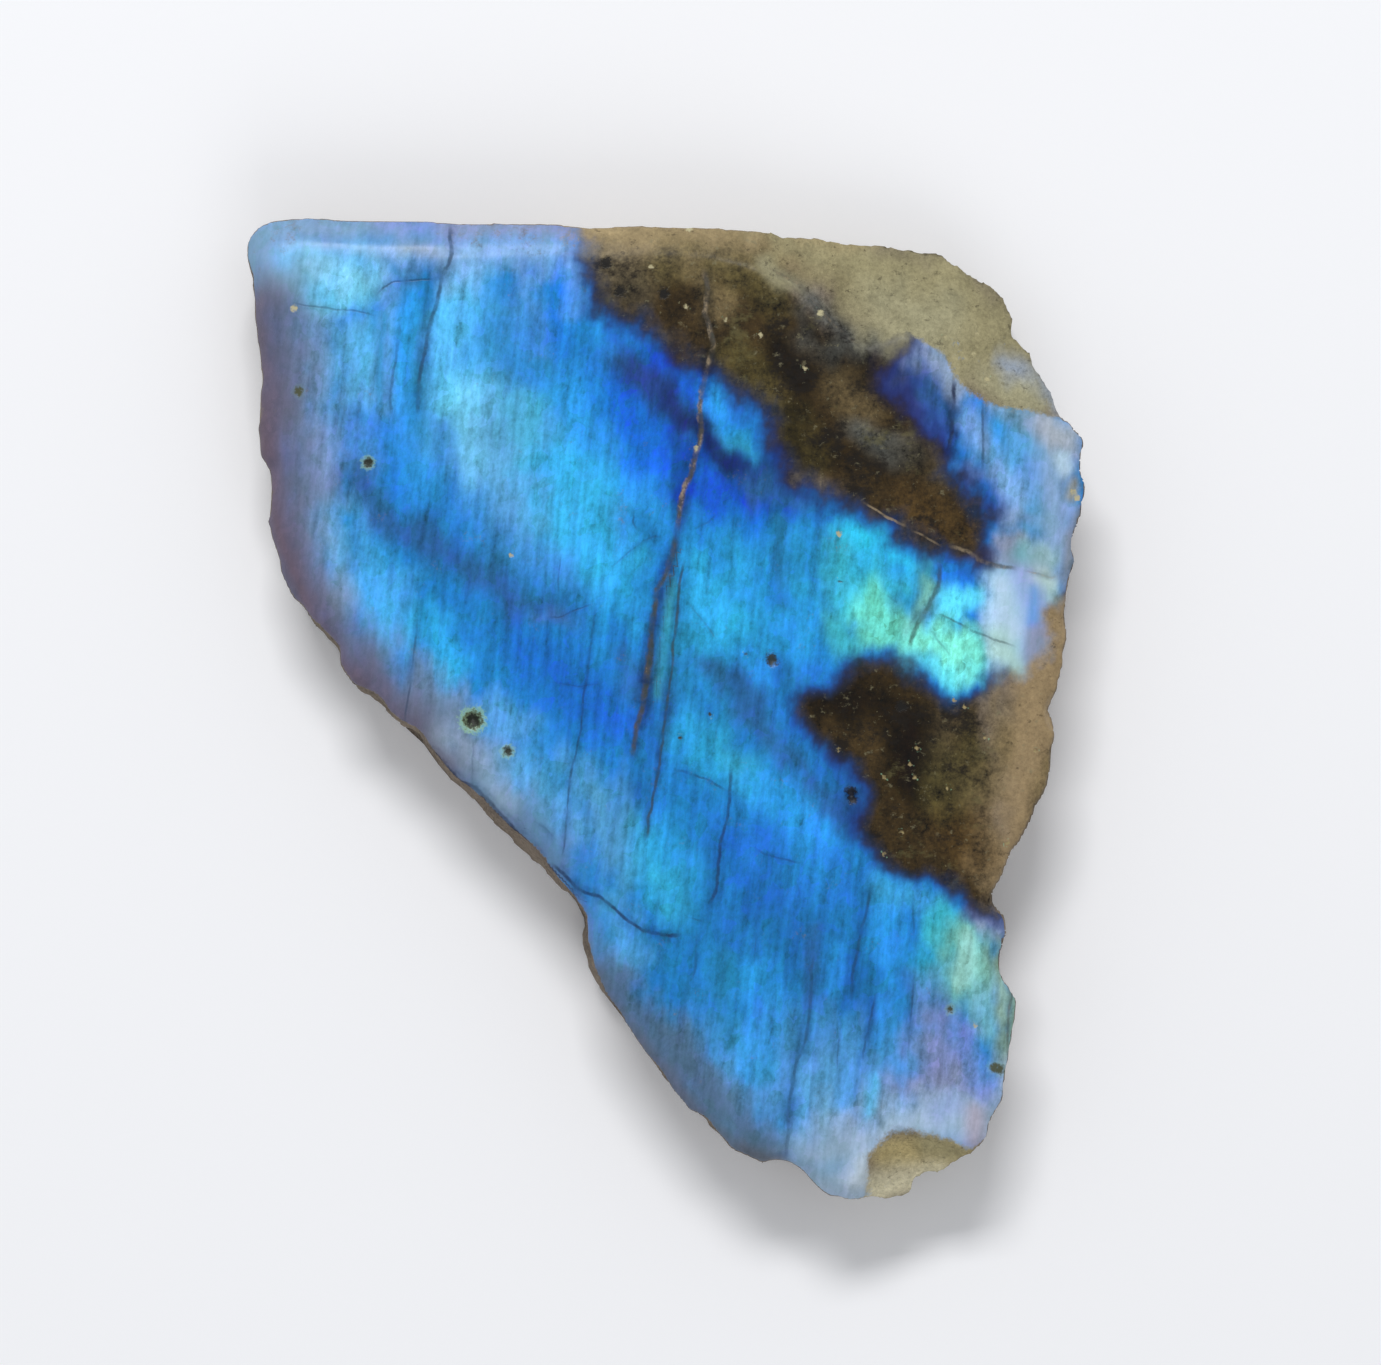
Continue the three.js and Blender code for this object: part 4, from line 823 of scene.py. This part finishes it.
def weather(piece):
    """Wears the rough faces away by formula: lumps, cleavage steps, grain and saw marks."""
    points, normals = read_points(piece)
    x, y, z = points.T
    rough = rough_share(points, normals)
    lumps = noise(x / 1.6, y / 1.6, z / 1.6, 3) + 0.5 * noise(x / 0.7, y / 0.7, z / 0.7, 4)
    layer = (x - LEAN * y) / 0.8 + 0.6 * noise(x / 2.5, y / 2.5, z / 1.2, 5)
    steps = layer - np.floor(layer)
    grain = noise(x / 0.28, y / 0.28, z / 0.28, 6)
    depth = LUMP_DEPTH * (1.5 + lumps) + STEP_DEPTH * steps + GRAIN_DEPTH * (1 + grain)
    arc = np.hypot(x - SAW_CENTRE[0], y - SAW_CENTRE[1]) / SAW_PITCH
    saw = SAW_DEPTH * (1 + np.sin(2 * math.pi * arc))
    back = smooth_step(-0.8, -0.98, normals[:, 2])
    inward = rough * (1 - back) * depth + back * saw
    move_points(piece, points - normals * inward[:, None])


def store(piece, name, kind, field, values):
    """Keeps one value a vertex on the mesh, for the material to read."""
    attribute = piece.data.attributes.new(name, kind, "POINT")
    attribute.data.foreach_set(field, np.ascontiguousarray(values, np.float32).ravel())


def store_colour(piece, name, colour):
    """Keeps one colour a vertex on the mesh, from linear red, green and blue."""
    opaque = np.ones((len(colour), 1))
    store(piece, name, "FLOAT_COLOR", "color", np.hstack([colour, opaque]))


def frayed(x, y, z):
    """Noise drawn out along the upright layers, which frays the edges of paints."""
    across = x - LEAN * y
    coarse = 0.3 * noise(across / 0.5, y / 3, z / 6, 11)
    return coarse + 0.2 * noise(across / 0.25, y / 1.5, z / 3, 12)


def paint_colours(piece, points, wall):
    """Stores the haze, the colour of the flash and the colour of the body."""
    x, y, z = points.T
    grit = 0.35 * fractal(x, 0.7 * y, z, 1.2, 71)
    veils = [cover * stroke_cover(x, y, path, soft, grit) for soft, cover, *path in VEIL]
    veil = np.maximum.reduce(veils)
    calm = 1 - 0.75 * veil
    grit *= calm
    panel = calm * panel_tone(x, y, z)
    fray = frayed(x, y, z)
    swirl_x = x + 0.25 * calm * fractal(x, 0.6 * y, z, 2.4, 21) + 0.1 * panel
    swirl_y = y + 0.25 * calm * fractal(x, 0.6 * y, z, 2.4, 31) + 0.5 * calm * fray + 0.3 * panel
    tone = (1 + 0.1 * panel)[:, None]
    flash = tone * painted(swirl_x, swirl_y, "azure", FLASH, grit)
    body = tone * painted(swirl_x, y + 0.3 * fray, "side", BODY, grit)
    body = np.maximum(body - SHEEN, DIMMEST)
    fracture = (1 + 0.14 * panel_tone(x + y, 3 * z, z))[:, None] * linear(PAINTS["side"])[:3]
    body += 0.7 * wall[:, None] * (fracture - body)
    store(piece, "veil", "FLOAT", "value", veil)
    store_colour(piece, "flash", np.maximum(flash - SHEEN, DIMMEST))
    store_colour(piece, "body", body)


def draw_edges(piece, points, wall):
    """Stores how far each place is from the dark patches, from the lines and from the marks.
    Only the steep lines run down the wall, and they fade there."""
    x, y, z = points.T
    wavy_x = x + 0.06 * fractal(x, y, z, 1.0, 41)
    wavy_y = y + 0.06 * fractal(x, y, z, 1.0, 51)
    torn_y = wavy_y + 0.15 * frayed(x, y, z)
    dark = [scale * depth_in(wavy_x, torn_y, edge) for edge, scale in DARK_FRINGE]
    store(piece, "missing", "FLOAT", "value", np.minimum(*dark) - 4 * wall)
    steep = line_field(wavy_x, wavy_y, STEEP_LINES)
    steep[:, 1] *= smooth_step(-2.0, 5.0, z)
    store(piece, "steep", "FLOAT_VECTOR", "vector", steep)
    cross = line_field(wavy_x, wavy_y, CROSS_LINES)
    cross[:, 1] *= smooth_step(4.4, 5.2, z)
    store(piece, "cross", "FLOAT_VECTOR", "vector", cross)
    marks = mark_field(x, y, MARKS)
    marks[:, 0] += MARK_REACH * smooth_step(5.2, 4.2, z)
    store(piece, "marks", "FLOAT_VECTOR", "vector", marks)


def paint_slab(piece):
    """Stores what the material needs to know of each place on the stone."""
    points, normals = read_points(piece)
    wall = wall_share(points, normals, 0.5, 0.1)
    paint_colours(piece, points, wall)
    draw_edges(piece, points, wall)
    store(piece, "rough", "FLOAT", "value", rough_share(points, normals))


class Value:
    """A socket of a shader, so that sums of sockets read as arithmetic."""

    def __init__(self, shader, socket):
        self.shader, self.socket = shader, socket

    def math(self, operation, *others):
        """What a Math node makes of this value and others."""
        inputs = dict(enumerate((self, *others)))
        return self.shader.node("Math", {"operation": operation}, inputs)

    def __add__(self, other):
        return self.math("ADD", other)

    def __radd__(self, other):
        return self.math("ADD", other)

    def __sub__(self, other):
        return self.math("SUBTRACT", other)

    def __rsub__(self, other):
        return (self * -1.0).math("ADD", other)

    def __mul__(self, other):
        return self.math("MULTIPLY", other)

    def __rmul__(self, other):
        return self.math("MULTIPLY", other)

    def __abs__(self):
        return self.math("ABSOLUTE")

    def larger(self, other):
        """The larger of two values."""
        return self.math("MAXIMUM", other)

    def fade(self, none, full):
        """0 at none, 1 at full and an even curve between them."""
        inputs = {"Value": self, "From Min": none, "From Max": full}
        return self.shader.node("MapRange", {"interpolation_type": "SMOOTHSTEP"}, inputs)


class Shader:
    """A material's nodes."""

    def __init__(self, name):
        self.material = bpy.data.materials.new(name)
        self.material.use_nodes = True
        self.nodes = self.material.node_tree.nodes
        self.links = self.material.node_tree.links
        self.nodes.clear()

    def node(self, kind, settings=(), inputs=(), output=0):
        """Adds a node: its settings first, then the values or links of its sockets."""
        made = self.nodes.new("ShaderNode" + kind)
        for name, value in dict(settings).items():
            if name == "stops":
                self.set_stops(made.color_ramp, value)
            else:
                setattr(made, name, value)
        for name, value in dict(inputs).items():
            if isinstance(value, Value):
                self.links.new(value.socket, made.inputs[name])
            else:
                made.inputs[name].default_value = value
        return Value(self, made.outputs[output])

    def finished(self, surface):
        """Joins the surface to the material's output, and gives the material."""
        out = self.nodes.new("ShaderNodeOutputMaterial")
        self.links.new(surface.socket, out.inputs["Surface"])
        return self.material

    def set_stops(self, ramp, stops):
        """Gives a ramp these places and colours."""
        while len(ramp.elements) < len(stops):
            ramp.elements.new(1.0)
        for element, (place, colour) in zip(ramp.elements, stops):
            element.position = place
            element.color = linear(colour)

    def mix(self, share, first, second, kind="MIX"):
        """One colour over another. The sockets' numbers are those of a colour mix."""
        settings = {"data_type": "RGBA", "blend_type": kind}
        return self.node("Mix", settings, {0: share, 6: first, 7: second}, output=2)

    def ramp(self, value, *stops):
        """The colour at this value between stops."""
        return self.node("ValToRGB", {"stops": stops}, {0: value})

    def stretched(self, place, *size):
        """A place measured in these sizes, so that noise of one unit has them."""
        return self.node("VectorMath", {"operation": "DIVIDE"}, {0: place, 1: size})

    def noise(self, place, detail=2.0, roughness=0.5):
        """Noise from -1 to 1."""
        inputs = {"Vector": place, "Scale": 1.0, "Detail": detail, "Roughness": roughness}
        return self.node("TexNoise", {}, inputs) * 2.0 - 1.0

    def cells(self, place):
        """A random number for each cell."""
        random = self.node("TexVoronoi", {}, {"Vector": place, "Scale": 1.0}, output="Color")
        return self.node("SeparateColor", {}, {0: random})

    def bend(self, place, size, reach):
        """A shift this far at most, from noise of this size."""
        inputs = {"Vector": self.stretched(place, size, size, size), "Scale": 1.0, "Detail": 2.0}
        shift = self.node("TexNoise", {}, inputs, "Color")
        centred = self.node("VectorMath", {"operation": "SUBTRACT"}, {0: shift, 1: (0.5, 0.5, 0.5)})
        return self.node("VectorMath", {"operation": "SCALE"}, {0: centred, "Scale": 4 * reach})

    def kept(self, name, output="Fac"):
        """What the mesh keeps under this name."""
        return self.node("Attribute", {"attribute_name": name}, output=output)

    def parts(self, vector):
        """The three numbers of a vector."""
        return [self.node("SeparateXYZ", {}, {0: vector}, output=n) for n in range(3)]


def flash_colour(s, leaning, slanting):
    """The blue flash: painted zones, clouded and combed by the thin upright layers. Each noise
    has its sizes across, along and through them."""
    cloud = s.noise(s.stretched(leaning, 1.5, 2.0, 2.0), 5.0, 0.7)
    patchy = s.noise(s.stretched(leaning, 2.0, 3.0, 3.0), 2.0)
    clot = s.noise(s.stretched(leaning, 0.36, 0.55, 0.55), 3.0, 0.7)
    fibre = s.noise(s.stretched(leaning, 0.16, 1.2, 1.2), 3.0, 0.65) * patchy.fade(-0.35, 0.35)
    hatch = s.noise(s.stretched(slanting, 0.11, 0.5, 0.5), 2.0, 0.6)
    bent = s.node("VectorMath", {"operation": "ADD"}, {0: leaning, 1: s.bend(leaning, 0.9, 0.35)})
    cell = s.cells(s.stretched(bent, 0.5, 0.8, 0.8)) - 0.5
    grain = s.noise(s.stretched(leaning, 0.12, 0.16, 0.16), 2.0, 0.7)
    comb = s.noise(s.stretched(leaning, 0.32, 3.2, 3.2), 2.0, 0.5)
    clear = 1.0 - s.kept("veil") * 0.7
    swing = cloud * 0.45 + clot * 0.6 + comb * 0.5 + fibre * 0.24 + hatch * 0.12
    light = (swing + cell * 0.3 + grain * 0.22) * clear + 1.03
    hue = 0.5 + cloud * 0.018 + clot * 0.016 + cell * 0.016 + patchy * 0.01
    inputs = {"Hue": hue, "Saturation": 0.99, "Value": light, "Color": s.kept("flash", "Color")}
    colour = s.node("HueSaturation", {}, inputs)
    ticks = s.noise(s.stretched(leaning, 0.12, 0.45, 0.45), 2.0, 0.6)
    return s.mix(ticks.fade(0.25, 0.6) * clear * 0.12, colour, linear((28, 70, 118)))


def fringe_layer(s, colour, missing):
    """The flash dims through royal blue to violet black where it ends."""
    fringe = s.ramp(missing, (0.0, (30, 27, 44)), (0.3, (32, 36, 84)), (0.65, (26, 54, 138)),
                    (1.0, (28, 88, 186)))
    return s.mix(missing.fade(1.15, 0.1) * (0.9 - s.kept("veil") * 0.85), colour, fringe)


def body_colour(s, place, rough):
    """Dark stone where there is no flash, and grainy stone where it is rough, with pale specks of
    painted glint. Gives the colour and the relief of the grain."""
    ground = s.kept("body", "Color")
    pale = s.node("RGBToBW", {}, {0: ground}).fade(0.06, 0.22)
    mottle = s.noise(s.stretched(place, 1.1, 1.2, 1.2), 6.0, 0.75)
    drift = s.noise(s.stretched(place, 2.4, 1.6, 1.6), 5.0, 0.75)
    speck = s.noise(s.stretched(place, 0.2, 0.22, 0.2), 3.0, 0.75)
    light = 1.0 + mottle * (2.2 - pale * 1.75) + speck * (1.1 - pale * 0.6)
    colour = s.node("HueSaturation", {}, {"Value": light, "Color": ground})
    dark = drift.fade(0.05, 0.3) * (0.9 - pale * 0.82)
    colour = s.mix(dark, colour, linear((26, 21, 16)))
    green = drift.fade(-0.12, -0.4) * (0.5 - pale * 0.4)
    colour = s.mix(green, colour, linear((104, 98, 62)))
    clump = s.noise(s.stretched(place, 0.5, 0.42, 0.5), 4.0, 0.7)
    colour = s.mix(clump.fade(0.18, 0.4) * 0.5, colour, linear((128, 122, 94)))
    colour = s.mix(clump.fade(-0.18, -0.4) * 0.5, colour, linear((34, 28, 20)))
    # painted glints: pale specks that stand in for light caught by tiny facets, most of them on
    # rough stone
    painted_glint = s.noise(s.stretched(place, 0.15, 0.2, 0.15), 2.0, 0.5).fade(0.34, 0.6)
    painted_glint = painted_glint * drift.fade(0.3, -0.2)
    colour = s.mix(painted_glint * (0.3 + rough * 0.4), colour, linear((192, 184, 140)))
    return colour, mottle * 0.5 + speck


def line_layer(s, colour, name, wobble, worn):
    """Draws the lines kept under a name over a colour. Gives the colour and the lines."""
    side, strength, tint = s.parts(s.kept(name, "Vector"))
    gap = abs(side + wobble * 0.9)
    core = gap.fade(1.3, 0.3) * strength * worn
    shade = gap.fade(5.5, 0.5) * strength * (1.3 - worn) * 0.6
    paint = s.ramp(tint + wobble * 0.5, (0.0, (18, 28, 64)), (0.3, (26, 60, 88)),
                   (0.55, (50, 62, 56)), (0.85, (80, 74, 66)), (1.0, (152, 134, 106)))
    colour = s.mix(shade, colour, linear((92, 112, 140)), "MULTIPLY")
    return s.mix(core * 0.9, colour, paint), core


def mark_layer(s, colour, wobble):
    """Draws the pits with their rings, and the single specks, the palest partly painted glints.
    Gives the colour and the marks.
    """
    gap, tint, halo = s.parts(s.kept("marks", "Vector"))
    gap = gap + wobble
    colour = s.mix(gap.fade(2.1, 1.4) * halo * 0.75, colour, linear((150, 196, 160)))
    colour = s.mix(gap.fade(1.5, 1.1) * halo * 0.8, colour, linear((104, 108, 66)))
    mark = gap.fade(1.4, 0.6) * 0.95
    paint = s.ramp(tint, (0.0, (20, 18, 16)), (0.4, (84, 88, 62)), (0.75, (160, 144, 100)),
                   (1.0, (190, 182, 144)))
    return s.mix(mark, colour, paint), mark


def labradorite():
    """Polished stone with a blue flash, dark where the flash is missing, rough where broken."""
    s = Shader("labradorite")
    metres = s.node("TexCoord", output="Object")
    place = s.node("VectorMath", {"operation": "SCALE"}, {0: metres, "Scale": 1 / MM})
    x, y, z = s.parts(place)
    leaning = s.node("CombineXYZ", {}, {0: x - y * LEAN, 1: y, 2: z})
    slanting = s.node("CombineXYZ", {}, {0: x - y * SLANT, 1: y, 2: z})

    torn = s.noise(s.stretched(leaning, 1.1, 1.4, 1.4), 3.0, 0.5)
    wobble = s.noise(s.stretched(place, 0.35, 0.5, 0.5), 3.0, 0.7)
    worn = s.noise(s.stretched(place, 0.9, 0.9, 0.9), 3.0, 0.6).fade(-0.35, 0.15) * 0.75 + 0.25
    missing = s.kept("missing") + torn * 0.8
    rough = s.kept("rough")
    crumb = s.noise(s.stretched(place, 0.14, 0.14, 0.14), 2.0, 0.6)
    rough_mask = (rough + torn * 0.5 + wobble * 0.4 + crumb * 0.3).fade(0.2, 0.8)

    flash = fringe_layer(s, flash_colour(s, leaning, slanting), missing)
    body, relief = body_colour(s, place, rough_mask)
    bare = missing.fade(0.5, -0.5).larger(rough_mask)
    colour = s.mix(bare, flash, body)
    colour, steep = line_layer(s, colour, "steep", wobble * 0.9, worn)
    colour, cross = line_layer(s, colour, "cross", wobble * 0.9, worn)
    colour, mark = mark_layer(s, colour, wobble * 0.5 + crumb * 0.8)

    cut = steep.larger(cross).larger(mark)
    height = relief * rough_mask - cut * 0.25
    bump = s.node("Bump", {}, {"Strength": 0.5, "Distance": 0.12 * MM, "Height": height})
    gloss = 0.26 + rough * 0.6 + bare * 0.08 + wobble * 0.1 + cut * 0.2
    inputs = {"Base Color": colour, "Roughness": gloss, "Normal": bump, "Specular IOR Level": 0.22}
    return s.finished(s.node("BsdfPrincipled", {}, inputs))


def plain(name, colour, roughness):
    """An even material, for the floor."""
    s = Shader(name)
    inputs = {"Base Color": linear(colour), "Roughness": roughness}
    return s.finished(s.node("BsdfPrincipled", {}, inputs))


def build_stone():
    """The one piece: the slab with its face, sides and back."""
    piece = fine_slab()
    soften_rims(piece)
    thin_back(piece)
    weather(piece)
    paint_slab(piece)
    piece.data.materials.append(labradorite())
    deselect()
    piece.select_set(True)
    bpy.context.view_layer.objects.active = piece
    bpy.ops.object.shade_smooth()
    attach(piece, "root")
    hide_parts(SLAB)


def build_floor():
    """A plain pale floor under the slab."""
    deselect()
    bpy.ops.mesh.primitive_plane_add(size=3.0, location=(0, 0, 0))
    floor = bpy.context.active_object
    floor.name = "floor"
    floor.data.materials.append(plain("pale floor", (250, 250, 252), 0.6))


def add_light(name, place, size, power):
    """A soft square light at a place in millimetres, turned towards the slab."""
    lamp = bpy.data.lights.new(name, "AREA")
    lamp.shape = "RECTANGLE"
    lamp.size, lamp.size_y = size[0] * MM, size[1] * MM
    lamp.energy = power
    holder = bpy.data.objects.new(name, lamp)
    holder.location = [value * MM for value in place]
    holder.rotation_euler = (-holder.location).to_track_quat("-Z", "Y").to_euler()
    bpy.context.collection.objects.link(holder)


def light_scene():
    """Soft light from beyond the straight edge, a fill from the other side, and a pale room."""
    add_light("key", (-60, 380, 480), (260, 120), 2.1)
    add_light("front fill", (200, -700, 700), (600, 600), 1.5)
    world = bpy.data.worlds.new("room")
    world.use_nodes = True
    world.node_tree.nodes["Background"].inputs["Color"].default_value = linear((235, 238, 242))
    world.node_tree.nodes["Background"].inputs["Strength"].default_value = 0.5
    bpy.context.scene.world = world
    bpy.context.scene.view_settings.view_transform = "Standard"


def place_camera():
    """A camera straight over the polished face."""
    camera = bpy.data.objects.new("camera", bpy.data.cameras.new("camera"))
    camera.data.sensor_width = SENSOR
    camera.data.lens = SENSOR * VIEW_HEIGHT / VIEW_WIDTH
    x, y = VIEW_CENTRE
    camera.location = (x * MM, y * MM, (THICKNESS + VIEW_HEIGHT) * MM)
    bpy.context.collection.objects.link(camera)
    bpy.context.scene.camera = camera


place_camera()
light_scene()
build_floor()
build_stone()
